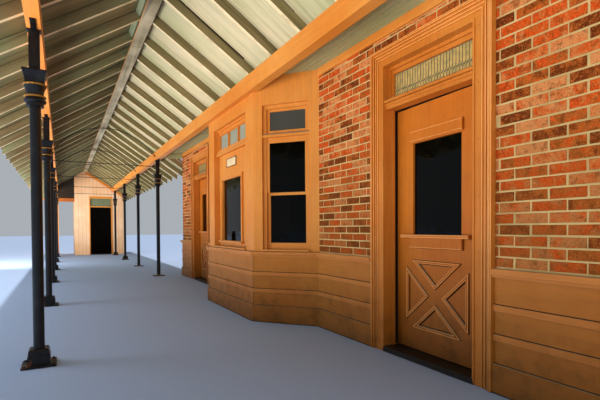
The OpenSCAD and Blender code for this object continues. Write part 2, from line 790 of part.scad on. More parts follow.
module leaf_solid() {
    x0 = door_set;
    x1 = door_set + door_t;
    ring = 24;
    board_half = pane_w / 2 + 20;
    shelf_half = pane_w / 2 + 105;
    glass_top = pane_z + pane_h;
    difference() {
        block([x0, -door_w / 2, door_z0], [x1, door_w / 2, door_z1]);
        block([x0 - 1, -pane_w / 2, pane_z], [x1 + 1, pane_w / 2, glass_top]);
        // Sunk triangles
        for (tri = cross_tris) on_leaf(x0 - 1, x0 + 5) polygon(tri_inset(tri, ring));
    }
    // Raised mouldings round the triangles
    for (tri = cross_tris) on_leaf(x0 - 11, x0) difference() {
        polygon(tri);
        polygon(tri_inset(tri, ring));
    }
    // Board and lip over the glass, and the shelf with its apron
    block([x0 - 9, -board_half, glass_top + 2], [x0, board_half, glass_top + 16]);
    block([x0 - 20, -board_half, glass_top + 16], [x0, board_half, glass_top + 98]);
    block([x0 - 48, -shelf_half, pane_z - 26], [x0, shelf_half, pane_z]);
    block([x0 - 22, -board_half, pane_z - 110], [x0, board_half, pane_z - 26]);
    // Knob and rose inside, and upper knuckle of each hinge
    translate([x1, door_w / 2 - 62, knob_z]) rotate([0, 90, 0]) {
        cylinder(r = 26, h = 6);
        cylinder(r = 9, h = 45);
        translate([0, 0, 40]) cylinder(r1 = 20, r2 = 26, h = 10);
        translate([0, 0, 50]) cylinder(r1 = 26, r2 = 17, h = 14);
    }
    for (z = hinge_zs) {
        translate([hinge_x, hinge_y, z + hinge_l + hinge_gap]) cylinder(r = hinge_r, h = hinge_l);
        block([x1, hinge_y, z + hinge_l + hinge_gap], [x1 + 3, hinge_y + 34, z + 2 * hinge_l + hinge_gap]);
    }
}

// The leaf turned into the room about its hinge
module turned(angle) {
    translate([hinge_x, hinge_y, 0]) rotate([0, 0, -angle]) translate([-hinge_x, -hinge_y, 0]) children();
}

module leaf_pane() {
    block([door_set + (door_t - glass_t) / 2, -pane_w / 2, pane_z],
          [door_set + (door_t + glass_t) / 2, pane_w / 2, pane_z + pane_h]);
}

module near_door_frame() { color(orange) at_door(0) door_frame(); }
module near_door() { color(door_orange) at_door(0) turned(door_ajar) leaf_solid(); }
module near_door_glass() { color("darkslategray") at_door(0) turned(door_ajar) leaf_pane(); }
module far_door_frame() { color(orange) at_door(1) door_frame(); }
module far_door() { color(door_orange) at_door(1) leaf_solid(); }
module far_door_glass() { color("darkslategray") at_door(1) leaf_pane(); }

module over_door_glass() {
    inner = door_open_h - jamb_t;
    color("darkkhaki") for (which = [0, 1]) at_door(which)
        block([85, -inner + 30, over_z + light_lip], [85 + glass_t, inner - 30, over_z + over_h - light_top]);
}

// Windows of the back and the ends stand in the outer part of the wall
module at_rear_windows() {
    at_site() {
        for (y = back_windows) translate([bldg_x1, y - win_w / 2, 0]) rotate([0, 0, 90]) children();
        translate([main_ridge_x - win_w / 2, 0, 0]) children();
        translate([main_ridge_x + win_w / 2, bldg_l, 0]) rotate([0, 0, 180]) children();
    }
}

module rear_windows() { color(orange) at_rear_windows() sash_window(win_w); }
module rear_window_glass() { color("darkslategray") at_rear_windows() sash_glass(win_w); }

// Long beams on the columns; the building-side beam lies on the bay's front as well
module track_side_beam() {
    color(orange) at_site()
        block([-beam_w / 2, cover_y0 + barge_t, beam_z], [beam_w / 2, store_y1, beam_top]);
}

module building_side_beam() {
    color(orange) at_site()
        block([col_span - beam_w / 2, cover_y0 + barge_t, beam_z], [col_span + beam_w / 2, store_y0, beam_top]);
}

// Upright ridge board with a wide plank nailed under it
module cover_ridge_board() {
    drop = ridge_plank_w / 2 * roof_slope;
    color(zinc) at_site() {
        block([ridge_x - ridge_t / 2, cover_y0, ridge_z - drop], [ridge_x + ridge_t / 2, cover_y1, ridge_z + rafter_v - ridge_t / 2 * roof_slope]);
        block([ridge_x - ridge_plank_w / 2, cover_y0, ridge_z - drop - plank_t],
              [ridge_x + ridge_plank_w / 2, cover_y1, ridge_z - drop - joint_gap]);
    }
}

// Rafters of one slope, each with a seat cut over the beam at beam_x
module cover_rafter(x0, x1, beam_x) {
    difference() {
        cover_layer(x0, x1, 0, rafter_v);
        translate([beam_x - beam_w / 2, beam_z]) square([beam_w, beam_h]);
    }
}

rafter_count = floor((cover_y1 - rafter_w) / rafter_gap);

module track_side_rafters() {
    color(cream) at_site() for (i = [0 : rafter_count])
        along_y(i * rafter_gap, i * rafter_gap + rafter_w)
            cover_rafter(eave_x0, ridge_x - ridge_t / 2, 0);
}

// Beside the building the rafters stop at the valley gutter
module building_side_rafters() {
    color(cream) at_site() for (i = [0 : rafter_count])
        along_y(i * rafter_gap, i * rafter_gap + rafter_w)
            cover_rafter(ridge_x + ridge_t / 2,
                         i * rafter_gap < bldg_l - rafter_w ? col_span + beam_w / 2 : eave_x1, col_span);
}

module track_side_deck() {
    color(cream) at_site() along_y(cover_y0 + barge_t, cover_y1 - barge_t)
        cover_layer(eave_x0, ridge_x - joint_gap, deck_low, deck_low + deck_v);
}

module building_side_deck() {
    color(cream) at_site() {
        along_y(cover_y0 + barge_t, bldg_l - joint_gap)
            cover_layer(ridge_x, col_span + beam_w / 2, deck_low, deck_low + deck_v);
        along_y(bldg_l, cover_y1 - barge_t)
            cover_layer(ridge_x, eave_x1, deck_low, deck_low + deck_v);
    }
}

module cover_shingles() {
    low = deck_low + deck_v + joint_gap;
    cap = 110;
    color(shingle_grey) at_site() {
        along_y(cover_y0, cover_y1)
            cover_layer(eave_x0 - shingle_lip, ridge_x - joint_gap, low, low + shingle_v);
        along_y(cover_y0, bldg_l - joint_gap)
            cover_layer(ridge_x, col_span + beam_w / 2, low, low + shingle_v);
        along_y(bldg_l, cover_y1)
            cover_layer(ridge_x, eave_x1 + shingle_lip, low, low + shingle_v);
        along_y(cover_y0, cover_y1) for (side = [-1, 1])
            cover_layer(min(ridge_x, ridge_x + side * cap), max(ridge_x, ridge_x + side * cap),
                        low + shingle_v + joint_gap, low + 2 * shingle_v);
    }
}

// Roof of the building
module main_rafters() {
    color(cream) at_site() for (i = [0 : bldg_bays * rafters_per_bay])
        along_y(min(i * rafter_gap, bldg_l - rafter_w), min(i * rafter_gap, bldg_l - rafter_w) + rafter_w) {
            difference() {
                union() {
                    main_layer(main_x0, main_ridge_x - ridge_t / 2, 0, main_rafter_v);
                    main_layer(main_ridge_x + ridge_t / 2, main_x1, 0, main_rafter_v);
                }
                for (x = [bldg_x0, bldg_x1 - plate_w]) translate([x, wall_h]) square([plate_w, plate_h]);
            }
        }
}

module main_ridge_board() {
    color(cream) at_site() block([main_ridge_x - ridge_t / 2, -verge, main_ridge_z],
        [main_ridge_x + ridge_t / 2, bldg_l + verge, main_ridge_z + main_rafter_v - ridge_t / 2 * roof_slope]);
}

module main_deck() {
    color(cream) at_site() along_y(-verge + barge_t, bldg_l + verge - barge_t) {
        main_layer(main_x0, main_ridge_x - joint_gap, main_deck_low, main_deck_low + deck_v);
        main_layer(main_ridge_x, main_x1, main_deck_low, main_deck_low + deck_v);
    }
}

module main_shingles() {
    low = main_deck_low + deck_v + joint_gap;
    cap = 110;
    color(shingle_grey) at_site() along_y(-verge, bldg_l + verge) {
        main_layer(main_x0 - shingle_lip, main_ridge_x - joint_gap, low, low + shingle_v);
        main_layer(main_ridge_x, main_x1 + shingle_lip, low, low + shingle_v);
        for (side = [-1, 1])
            main_layer(min(main_ridge_x, main_ridge_x + side * cap), max(main_ridge_x, main_ridge_x + side * cap),
                       low + shingle_v + joint_gap, low + 2 * shingle_v);
    }
}

// Barge boards under the shingles at the ends of both roofs
module barge_pair(y) {
    low = deck_low + deck_v;
    right = y > bldg_l ? eave_x1 : col_span + beam_w / 2;
    difference() {
        along_y(y, y + barge_t) {
            cover_layer(eave_x0, ridge_x - joint_gap, low - barge_h, low);
            cover_layer(ridge_x, right, low - barge_h, low);
        }
        block([ridge_x - ridge_t / 2, y - 1, 0], [ridge_x + ridge_t / 2, y + barge_t + 1, ridge_z + rafter_v - ridge_t / 2 * roof_slope]);
        block([ridge_x - ridge_plank_w / 2, y - 1, 0], [ridge_x + ridge_plank_w / 2, y + barge_t + 1, ridge_z - ridge_plank_w / 2 * roof_slope]);
    }
}

module main_barge_pair(y) {
    low = main_deck_low + deck_v;
    difference() {
        along_y(y, y + barge_t) {
            main_layer(main_x0, main_ridge_x - joint_gap, low - barge_h, low);
            main_layer(main_ridge_x, main_x1, low - barge_h, low);
        }
        block([main_ridge_x - ridge_t / 2, y - 1, 0], [main_ridge_x + ridge_t / 2, y + barge_t + 1, main_ridge_z + main_rafter_v - ridge_t / 2 * roof_slope]);
    }
}

module barge_boards() {
    color(orange) at_site() {
        barge_pair(cover_y0);
        barge_pair(cover_y1 - barge_t);
        main_barge_pair(-verge);
        main_barge_pair(bldg_l + verge - barge_t);
    }
}

// A square block w wide with its four top edges bevelled by c
module bevelled(w, h, c) {
    intersection_for(turn = [0, 90]) rotate([0, 0, turn]) rotate([90, 0, 0])
        translate([0, 0, -w / 2]) linear_extrude(w)
            polygon([[-w / 2, 0], [w / 2, 0], [w / 2, h - c], [w / 2 - c, h], [-w / 2 + c, h], [-w / 2, h - c]]);
}

// A square block that flares from w0 at its foot to w1, with hollow sides
module flared(w0, w1, h) {
    d = (w1 - w0) / 2;
    r = (d * d + h * h) / (2 * d);
    difference() {
        translate([-w1 / 2, -w1 / 2, 0]) cube([w1, w1, h]);
        for (turn = [0 : 90 : 270]) rotate([0, 0, turn])
            translate([w0 / 2 + r, w1, 0]) rotate([90, 0, 0]) cylinder(r = r, h = 2 * w1, $fn = 96);
    }
}

// Capital as turned: a neck, a torus and a ring, then a bell with hollow sides under a second ring
capital_h = 178;

module turned_capital() {
    ring_r = capital_d / 2;
    neck_r = 55;
    bell_r = 61;
    bell_z = 88;
    bell_h = 72;
    bell_out = ring_r - 6 - bell_r;
    hollow_r = (bell_out * bell_out + bell_h * bell_h) / (2 * bell_out);
    cylinder(r = neck_r, h = 34);
    translate([0, 0, 44]) rotate_extrude() translate([ring_r - 23, 0]) circle(r = 17);
    cylinder(r = ring_r - 23, h = 64);
    translate([0, 0, 62]) cylinder(r = neck_r + 4, h = 30);
    translate([0, 0, 77]) rotate_extrude() translate([ring_r - 15, 0]) circle(r = 8);
    translate([0, 0, 70]) cylinder(r = ring_r - 15, h = 14);
    translate([0, 0, bell_z]) rotate_extrude() difference() {
        square([ring_r - 6, bell_h]);
        translate([bell_r + hollow_r, 0]) circle(r = hollow_r, $fn = 96);
    }
    translate([0, 0, bell_z + bell_h]) cylinder(r = ring_r - 6, h = capital_h - bell_z - bell_h);
    translate([0, 0, capital_h - 9]) rotate_extrude() translate([ring_r - 8, 0]) circle(r = 8);
}

// A cast-iron column with its foot at the origin; a plain foot has no plinth
module column(plain_foot) {
    abacus_z = capital_z + capital_h;
    post_z = abacus_z + abacus_h;
    upper_z = foot_t + plinth_h + 5;
    plinth_top = upper_z + plinth_top_h;
    shaft_z0 = plain_foot ? foot_t : plinth_top;
    groove = 9;
    translate([-foot_w / 2, -foot_w / 2, 0]) cube([foot_w, foot_w, foot_t]);
    if (!plain_foot) {
        translate([0, 0, foot_t]) bevelled(plinth_w, plinth_h, 6);
        translate([-plinth_w / 2 + groove, -plinth_w / 2 + groove, foot_t])
            cube([plinth_w - 2 * groove, plinth_w - 2 * groove, upper_z + 1 - foot_t]);
        translate([0, 0, upper_z]) bevelled(plinth_w - 11, plinth_top_h - 10, 5);
        translate([0, 0, plinth_top - 14]) bevelled(plinth_w - 18, 14, 8);
    }
    translate([0, 0, shaft_z0 - 1]) cylinder(d = shaft_d, h = capital_z - shaft_z0 + 2);
    translate([0, 0, capital_z]) turned_capital();
    translate([0, 0, abacus_z]) flared(abacus_w - 38, abacus_w, abacus_h - 12);
    translate([-abacus_w / 2, -abacus_w / 2, post_z - 12]) cube([abacus_w, abacus_w, 12]);
    // Square post with a seat under the beam, and straps that turn out along the beam's underside
    translate([-post_w / 2, -post_w / 2, post_z]) cube([post_w, post_w, beam_z - strap_t - post_z]);
    translate([-strap_w / 2, -post_w / 2 - strap_t, post_z]) cube([strap_w, post_w + 2 * strap_t, beam_z - post_z]);
    translate([-strap_w / 2, -post_w / 2 - arm_l, beam_z - strap_t]) cube([strap_w, post_w + 2 * arm_l, strap_t]);
    translate([-beam_w / 2, -post_w / 2, beam_z - strap_t]) cube([beam_w, post_w, strap_t]);
}

module track_side_columns() {
    color(iron_black) at_site() for (i = [0 : cover_bays]) translate([0, i * bay_l, 0]) column(false);
}

// Past the building the second row stands free; its first two columns have plain feet
module building_side_columns() {
    color(iron_black) at_site() for (i = [bldg_bays : cover_bays])
        translate([col_span, i * bay_l + (i == bldg_bays ? foot_w / 2 : 0), 0])
            column(i < bldg_bays + 2);
}

// Arched rods between the beams at each free pair of columns; an end is held in a square lug
module arched_rods() {
    lug = 26;
    half = ridge_x - beam_w / 2;
    rod_half = half - lug / 2;
    // Height of the arc's centre over its feet, where the arc is as far from both feet as from a
    // line that lies the gap and half a rod under the rafters
    reach = (ridge_z - arch_foot_z) * cos(roof_pitch) - rod_d / 2 - arch_gap;
    lean = reach * cos(roof_pitch);
    bend = pow(sin(roof_pitch), 2);
    centre = (sqrt(lean * lean - bend * (rod_half * rod_half - reach * reach)) - lean) / bend;
    radius = norm([rod_half, centre]);
    half_angle = asin(rod_half / radius);
    color(iron_black) at_site() for (i = [bldg_bays : cover_bays])
        translate([ridge_x, i * bay_l + (i == bldg_bays ? foot_w / 2 : 0), arch_foot_z]) {
            translate([0, 0, centre]) rotate([90, 0, 0]) rotate([0, 0, 90 - half_angle])
                rotate_extrude(angle = 2 * half_angle, $fn = 360) translate([radius, 0]) circle(d = rod_d, $fn = 24);
            for (side = [-1, 1])
                translate([side > 0 ? half - lug : -half, -lug / 2, -lug / 2]) cube([lug, lug, lug]);
        }
}

module tie_rods() {
    color(iron_black) at_site() for (i = [bldg_bays : cover_bays])
        translate([post_w / 2, i * bay_l + (i == bldg_bays ? foot_w / 2 : 0), tie_z]) rotate([0, 90, 0])
            cylinder(d = rod_d, h = col_span - post_w);
}

// Outline of a store wall from x0 to x1 under the slopes of the cover
module store_outline(x0, x1, z0) {
    polygon([[x0, z0], [x1, z0], [x1, cover_z(x1)], [ridge_x + ridge_plank_w / 2, cover_z(ridge_x + ridge_plank_w / 2)],
             [ridge_x + ridge_plank_w / 2, cover_z(ridge_x + ridge_plank_w / 2) - plank_t],
             [ridge_x - ridge_plank_w / 2, cover_z(ridge_x + ridge_plank_w / 2) - plank_t],
             [ridge_x - ridge_plank_w / 2, cover_z(ridge_x - ridge_plank_w / 2)], [x0, cover_z(x0)]]);
}

store_door_x = store_x0 + store_door_in;

module store_front_wall() {
    color(orange) at_site() along_y(store_y0, store_y0 + store_t) difference() {
        store_outline(store_x0, store_x1, 0);
        translate([store_door_x - frame_w, -1])
            square([store_door_w + 2 * frame_w, store_door_h + store_panel_h + 3 * frame_w + 1]);
    }
}

// Side walls and the wall at the far end
module store_walls() {
    color(orange) at_site() {
        along_y(store_y0 + store_t + joint_gap, store_y1 - store_t - joint_gap) {
            polygon([[store_x0, 0], [store_x0 + store_t, 0], [store_x0 + store_t, cover_z(store_x0)], [store_x0, cover_z(store_x0)]]);
            polygon([[store_x1 - store_t, 0], [store_x1, 0], [store_x1, cover_z(store_x1)], [store_x1 - store_t, cover_z(store_x1)]]);
        }
        along_y(store_y1 - store_t, store_y1) store_outline(store_x0, store_x1, 0);
    }
}

module store_floor() {
    color(floor_brown) at_site()
        block([store_x0 + store_t, store_y0 + store_t, 0], [store_x1 - store_t, store_y1 - store_t, store_floor_t]);
}

// Frame of the doorway with a panel over it
module store_doorway() {
    x0 = store_door_x - frame_w;
    x1 = store_door_x + store_door_w + frame_w;
    top = store_door_h + store_panel_h + 3 * frame_w;
    color(orange) at_site() {
        difference() {
            block([x0, store_y0 - 20, 0], [x1, store_y0 + store_t, top]);
            block([store_door_x, store_y0 - 21, -1], [store_door_x + store_door_w, store_y0 + store_t + 1, store_door_h]);
            block([store_door_x, store_y0 - 21, store_door_h + frame_w],
                  [store_door_x + store_door_w, store_y0 + 40, store_door_h + frame_w + store_panel_h]);
        }
    }
}

// Posts under the end of the track-side beam
module store_posts() {
    color(orange) at_site() for (y = [store_y0, store_y1 - beam_w])
        block([-beam_w / 2, y, 0], [beam_w / 2, y + beam_w, beam_z]);
}

// Cross beam from the post to the store, with the boarding over it
module store_cross_beam() {
    color(brown_orange) at_site() {
        block([beam_w / 2, store_y0, tail_z], [store_x0, store_y0 + store_t, tail_z + tail_h]);
        along_y(store_y0 + 40, store_y0 + 65)
            polygon([[beam_w / 2, tail_z + tail_h], [store_x0, tail_z + tail_h], [store_x0, cover_z(store_x0)], [beam_w / 2, cover_z(beam_w / 2)]]);
    }
}

station_floor();
front_wall_near();
near_door_head_wall();
front_wall_near_pier();
front_wall_far_pier();
far_door_head_wall();
front_wall_far();
near_end_wall();
far_end_wall();
back_wall();
front_dado();
bay_dado();
rear_dado();
front_frieze();
platform_soffit();
soffit_end_board();
room_ceiling();
valley_gutter();
wall_plates();
bay_base();
bay_posts();
bay_head();
bay_front_window();
bay_side_windows();
bay_glass();
sign_plate();
near_door_frame();
near_door();
near_door_glass();
far_door_frame();
far_door();
far_door_glass();
over_door_glass();
rear_windows();
rear_window_glass();
track_side_beam();
building_side_beam();
cover_ridge_board();
track_side_rafters();
building_side_rafters();
track_side_deck();
building_side_deck();
cover_shingles();
main_rafters();
main_ridge_board();
main_deck();
main_shingles();
barge_boards();
track_side_columns();
building_side_columns();
arched_rods();
tie_rods();
store_front_wall();
store_walls();
store_floor();
store_doorway();
store_posts();
store_cross_beam();
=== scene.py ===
"""Small railway station seen from under its platform cover.

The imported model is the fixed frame: brick building, ticket bay, doors, roofs, columns and store room.
This script gives every piece its finish and adds what is too fine for the frame: bricks, shingles,
boards, mouldings, leaded glass, nails, bolts and gilded rings. All lengths are metres.
"""

import bpy
import numpy as np
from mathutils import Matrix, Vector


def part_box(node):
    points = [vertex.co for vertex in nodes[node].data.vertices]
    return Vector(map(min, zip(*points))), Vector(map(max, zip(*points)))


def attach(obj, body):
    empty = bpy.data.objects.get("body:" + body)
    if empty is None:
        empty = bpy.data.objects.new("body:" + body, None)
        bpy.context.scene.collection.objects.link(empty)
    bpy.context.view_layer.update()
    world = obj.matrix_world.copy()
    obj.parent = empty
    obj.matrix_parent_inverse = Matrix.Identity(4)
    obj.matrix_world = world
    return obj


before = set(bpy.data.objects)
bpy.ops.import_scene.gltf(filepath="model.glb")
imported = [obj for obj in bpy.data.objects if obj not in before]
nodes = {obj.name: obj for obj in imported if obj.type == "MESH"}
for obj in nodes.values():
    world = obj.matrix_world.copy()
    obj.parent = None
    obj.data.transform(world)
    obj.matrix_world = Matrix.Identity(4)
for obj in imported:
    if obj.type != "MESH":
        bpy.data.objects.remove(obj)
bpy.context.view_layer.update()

# Camera, light and floor
# A camera held nearly level under the cover looks along to the building. Most of the light
# comes up from the sunlit ground beside the track, so the roof and the upper walls are bright and
# the foot of the wall is dark. A plain pale floor stands in for the platform.
PHOTO_W = 600
FOCAL_PX = 430
HORIZON_BELOW_MIDDLE = 28
CAMERA_DOWN = np.radians(1.05)
CAMERA_ROLL = np.radians(0.30)
CAMERA_AT = (-3.478, -11.712, 1.08)
CAMERA_HEADING = np.radians(28.97)

camera_data = bpy.data.cameras.new("platform_camera")
camera_data.sensor_width = 36
camera_data.lens = camera_data.sensor_width * FOCAL_PX / PHOTO_W
camera_data.shift_y = (HORIZON_BELOW_MIDDLE + FOCAL_PX * np.tan(CAMERA_DOWN)) / PHOTO_W
camera_data.clip_end = 400
camera = bpy.data.objects.new("platform_camera", camera_data)
camera.location = CAMERA_AT
camera.rotation_euler = (np.pi / 2 - CAMERA_DOWN, CAMERA_ROLL, -CAMERA_HEADING)
bpy.context.scene.collection.objects.link(camera)
bpy.context.scene.camera = camera


def put(tree, kind, settings=None, inputs=None):
    """Add a node. Settings are its own attributes; inputs, by name or number, are values or other
    nodes' outputs, which are linked."""
    made = tree.nodes.new(kind)
    for key, value in (settings or {}).items():
        setattr(made, key, value)
    for key, value in (inputs or {}).items():
        if isinstance(value, bpy.types.NodeSocket):
            tree.links.new(value, made.inputs[key])
        else:
            made.inputs[key].default_value = value
    return made


def shader_of(material, **inputs):
    """The material's Principled shader, with values or sockets on its inputs; X__Y stands for X Y."""
    shader = material.node_tree.nodes["Principled BSDF"]
    for key, value in inputs.items():
        socket = shader.inputs[key.replace("_", " ")]
        if isinstance(value, bpy.types.NodeSocket):
            material.node_tree.links.new(value, socket)
        else:
            socket.default_value = value


def new_material(name):
    """An empty node material with its Principled shader."""
    material = bpy.data.materials.new(name)
    material.use_nodes = True
    return material


def linear(red, green, blue):
    """A colour given as on a screen, 0 to 255, as the linear values that shaders take."""
    screen = np.array([red, green, blue]) / 255
    low = screen / 12.92
    high = ((screen + 0.055) / 1.055) ** 2.4
    return (*np.where(screen <= 0.04045, low, high).tolist(), 1.0)


FLOOR_HALF = 70
FLOOR_Z = -0.003
floor_mesh = bpy.data.meshes.new("pale_floor")
floor_corners = [(x * FLOOR_HALF, y * FLOOR_HALF, FLOOR_Z) for x, y in ((-1, -1), (1, -1), (1, 1), (-1, 1))]
floor_mesh.from_pydata(floor_corners, [], [(0, 1, 2, 3)])
floor = bpy.data.objects.new("pale_floor", floor_mesh)
bpy.context.scene.collection.objects.link(floor)
floor_material = new_material("pale_floor")
shader_of(floor_material, Base_Color=linear(150, 168, 196), Roughness=0.85)
floor_mesh.materials.append(floor_material)

bpy.context.scene.view_settings.view_transform = "Standard"
world = bpy.data.worlds.new("soft_sky")
world.use_nodes = True
sky = world.node_tree.nodes["Background"]
sky.inputs["Color"].default_value = (0.86, 0.93, 1.0, 1)
sky.inputs["Strength"].default_value = 0.46
bpy.context.scene.world = world


def panel_light(name, place, aim, width, length, power, colour):
    """A rectangular area light at place, turned towards aim, that isn't seen itself."""
    data = bpy.data.lights.new(name, "AREA")
    data.shape = "RECTANGLE"
    data.size = width
    data.size_y = length
    data.energy = power
    data.color = colour
    lamp = bpy.data.objects.new(name, data)
    away = np.subtract(place, aim)
    flat = np.hypot(away[0], away[1])
    lamp.location = place
    lamp.rotation_euler = (np.arctan2(flat, away[2]), 0, np.arctan2(away[0], -away[1]))
    lamp.visible_camera = False
    lamp.visible_glossy = False
    bpy.context.scene.collection.objects.link(lamp)


panel_light("sunlit_ground", (-9.0, -5, 0.01), (-9.0, -5, 1), 8.6, 34, 4300, (1.0, 0.95, 0.87))
panel_light("open_sky", (-11.0, -4, 7.0), (-2.0, -4, 0.0), 5, 26, 1900, (0.74, 0.87, 1.0))
panel_light("far_daylight", (-6.5, 3.5, 1.6), (-2.4, 8.4, 1.6), 3, 2.6, 340, (0.93, 0.96, 1.0))
panel_light("open_end", (-4.5, -20, 1.5), (-1.5, -8, 2.0), 5, 3, 160, (1.0, 0.95, 0.88))

sun_data = bpy.data.lights.new("high_sun", "SUN")
sun_data.energy = 3.0
sun_data.angle = np.radians(2)
sun = bpy.data.objects.new("high_sun", sun_data)
sun.rotation_euler = (np.radians(-24), np.radians(-3), 0)
bpy.context.scene.collection.objects.link(sun)

# Brick walls
# Red and brown bricks in running bond, 213 mm from one to the next and 70 mm a course, set 4 mm
# proud of sand-coloured mortar. The frame's walls are the mortar; the bricks are laid on them.
BRICK_PITCH = 0.2135
COURSE = 0.070
JOINT = 0.0117
BRICK_PROUD = 0.004
BRICK_BITE = 0.002
BRICK_ARRIS = 0.0035
ARRIS_OUT = 0.0012
BRICK_SLIP = 0.003
BRICK_UNEVEN = (-0.0016, 0.0014)
BRICK_WEAR = 0.0008
SHORTEST_CUT = 0.02
LOWEST_CUT = 0.012
NARROWEST_CUT = 0.03
OVER_DADO = 0.004
DADO_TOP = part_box("front_dado")[1].z
FRIEZE_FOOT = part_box("front_frieze")[0].z


def rows_of(*columns):
    """Rows from columns, each a number or an array, all spread to one length."""
    return np.stack(np.broadcast_arrays(*columns), -1).astype(float)


def bond(along, high, low_z, seed):
    """Running bond over a wall from 0 to along and low_z to high: each course is a row of bricks
    moved by half a brick from the last, with each brick laid up to 3 mm out of place. Returns start,
    end, foot and top of every brick."""
    rng = np.random.default_rng(seed)
    courses = int(np.ceil((high - low_z) / COURSE))
    per_course = int(np.ceil(along / BRICK_PITCH)) + 2
    row, column = np.meshgrid(np.arange(courses), np.arange(per_course), indexing="ij")
    start = (column - 1 + 0.5 * (row % 2)) * BRICK_PITCH + rng.uniform(-BRICK_SLIP, BRICK_SLIP, row.shape)
    foot = low_z + row * COURSE + JOINT
    end = start + BRICK_PITCH - JOINT
    top = foot + COURSE - JOINT
    return rows_of(start, end, foot, top).reshape(-1, 4)


def cut_to(bricks, s0, s1, z0, z1):
    """The parts of bricks inside one rectangle of the wall, without slivers."""
    cut = rows_of(np.maximum(bricks[:, 0], s0), np.minimum(bricks[:, 1], s1),
                  np.maximum(bricks[:, 2], z0), np.minimum(bricks[:, 3], z1))
    keep = (cut[:, 1] - cut[:, 0] > SHORTEST_CUT) & (cut[:, 3] - cut[:, 2] > LOWEST_CUT)
    return cut[keep]


def brick_mesh(bricks, seed):
    """Each brick is a grid of 6 by 6 points: its back edge, its worn arris and its flat face, whose
    depth over the wall is the lesser of two profiles, one along s and one up z. Returns points
    (s, z, depth), quads, and a tone for each point."""
    rng = np.random.default_rng(seed)
    count = len(bricks)
    inset = np.array([0, 0, 1, 1, 0, 0]) * BRICK_ARRIS
    side = np.array([0, 0, 0, 1, 1, 1])
    s = bricks[:, None, 0] + inset
    s = np.where(side == 1, bricks[:, None, 1] - inset, s)
    z = np.where(side == 1, bricks[:, None, 3] - inset, bricks[:, None, 2] + inset)
    profile = np.array([-BRICK_BITE, ARRIS_OUT, BRICK_PROUD, BRICK_PROUD, ARRIS_OUT, -BRICK_BITE])
    depth = np.minimum(profile[:, None], profile[None, :])
    points = np.empty((count, 6, 6, 3))
    points[..., 0] = s[:, :, None]
    points[..., 1] = z[:, None, :]
    points[..., 2] = depth
    face = depth > BRICK_PROUD - 1e-6
    points[:, face, 2] += rng.uniform(*BRICK_UNEVEN, (count, 1))
    points[:, 1:5, 1:5, :2] += rng.normal(0, BRICK_WEAR, (count, 4, 4, 2))
    corner = np.arange(36).reshape(6, 6)
    quad = np.stack([corner[:-1, :-1], corner[1:, :-1], corner[1:, 1:], corner[:-1, 1:]], -1).reshape(-1, 4)
    quads = (quad + 36 * np.arange(count)[:, None, None]).reshape(-1, 4)
    return points.reshape(-1, 3), quads, np.repeat(rng.random(count), 36)


def piece(name, points, faces, material, slot, body="station", smooth=False):
    """One mesh object from arrays of points and faces, which rides on a body."""
    mesh = bpy.data.meshes.new(name)
    mesh.from_pydata(np.asarray(points).tolist(), [], np.asarray(faces).tolist())
    mesh.materials.append(material)
    if smooth:
        mesh.polygons.foreach_set("use_smooth", np.ones(len(mesh.polygons), bool))
    made = bpy.data.objects.new(name, mesh)
    bpy.context.scene.collection.objects.link(made)
    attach(made, body)
    return made


def mark(made, name, values):
    """Give every point of a piece a value that its material reads."""
    made.data.attributes.new(name, "FLOAT", "POINT").data.foreach_set("value", values.astype(np.float32))


def ramp(tree, factor, stops):
    """A colour ramp over stops, each a place from 0 to 1 and a colour."""
    made = put(tree, "ShaderNodeValToRGB", inputs={"Fac": factor})
    band = made.color_ramp
    for place, colour in stops[1:-1]:
        band.elements.new(place).color = colour
    band.elements[0].position, band.elements[0].color = stops[0]
    band.elements[-1].position, band.elements[-1].color = stops[-1]
    return made.outputs["Color"]


def mixed(tree, factor, first, second, blend="MIX"):
    """A colour mix; factor, first and second are values or outputs."""
    made = put(tree, "ShaderNodeMix", {"data_type": "RGBA", "blend_type": blend})
    for number, value in ((0, factor), (6, first), (7, second)):
        if isinstance(value, bpy.types.NodeSocket):
            tree.links.new(value, made.inputs[number])
        else:
            made.inputs[number].default_value = value
    return made.outputs[2]


def sum_of(tree, operation, first, second=0.0, third=0.0, clamp=False):
    """One arithmetic step on values or outputs."""
    made = put(tree, "ShaderNodeMath", {"operation": operation, "use_clamp": clamp},
               {0: first, 1: second, 2: third})
    return made.outputs[0]


def vector_step(tree, operation, first, second):
    """One step on vectors: ADD or MULTIPLY by another, or SCALE by a value."""
    other = "Scale" if operation == "SCALE" else 1
    return put(tree, "ShaderNodeVectorMath", {"operation": operation}, {0: first, other: second}).outputs[0]


def upward(tree, vector):
    """The Z part of a vector."""
    return put(tree, "ShaderNodeSeparateXYZ", inputs={0: vector}).outputs["Z"]


def noise(tree, where, scale, detail=4.0, roughness=0.55, stretch=0.0):
    """Fractal noise around 0.5 over the given coordinates."""
    made = put(tree, "ShaderNodeTexNoise", inputs={"Vector": where, "Scale": scale, "Detail": detail,
                                                   "Roughness": roughness, "Distortion": stretch})
    return made.outputs["Fac"]


def spread(tree, value, low, high, to_low=0.0, to_high=1.0):
    """A value between low and high, carried over to another range and kept inside it."""
    made = put(tree, "ShaderNodeMapRange", inputs={"Value": value, "From Min": low, "From Max": high,
                                                   "To Min": to_low, "To Max": to_high})
    return made.outputs["Result"]


def place_of(tree):
    """Object coordinates, in metres on every piece."""
    return put(tree, "ShaderNodeTexCoord").outputs["Object"]


def bump(tree, height, depth):
    """A normal from a height from 0 to 1 that stands for a depth in metres."""
    return put(tree, "ShaderNodeBump", inputs={"Height": height, "Distance": depth}).outputs["Normal"]


def own_pattern(tree, tone):
    """Object coordinates moved by a different amount for each tone, so that no pattern runs on
    from one brick to the next."""
    return vector_step(tree, "ADD", place_of(tree), vector_step(tree, "SCALE", (31, 47, 61), tone))


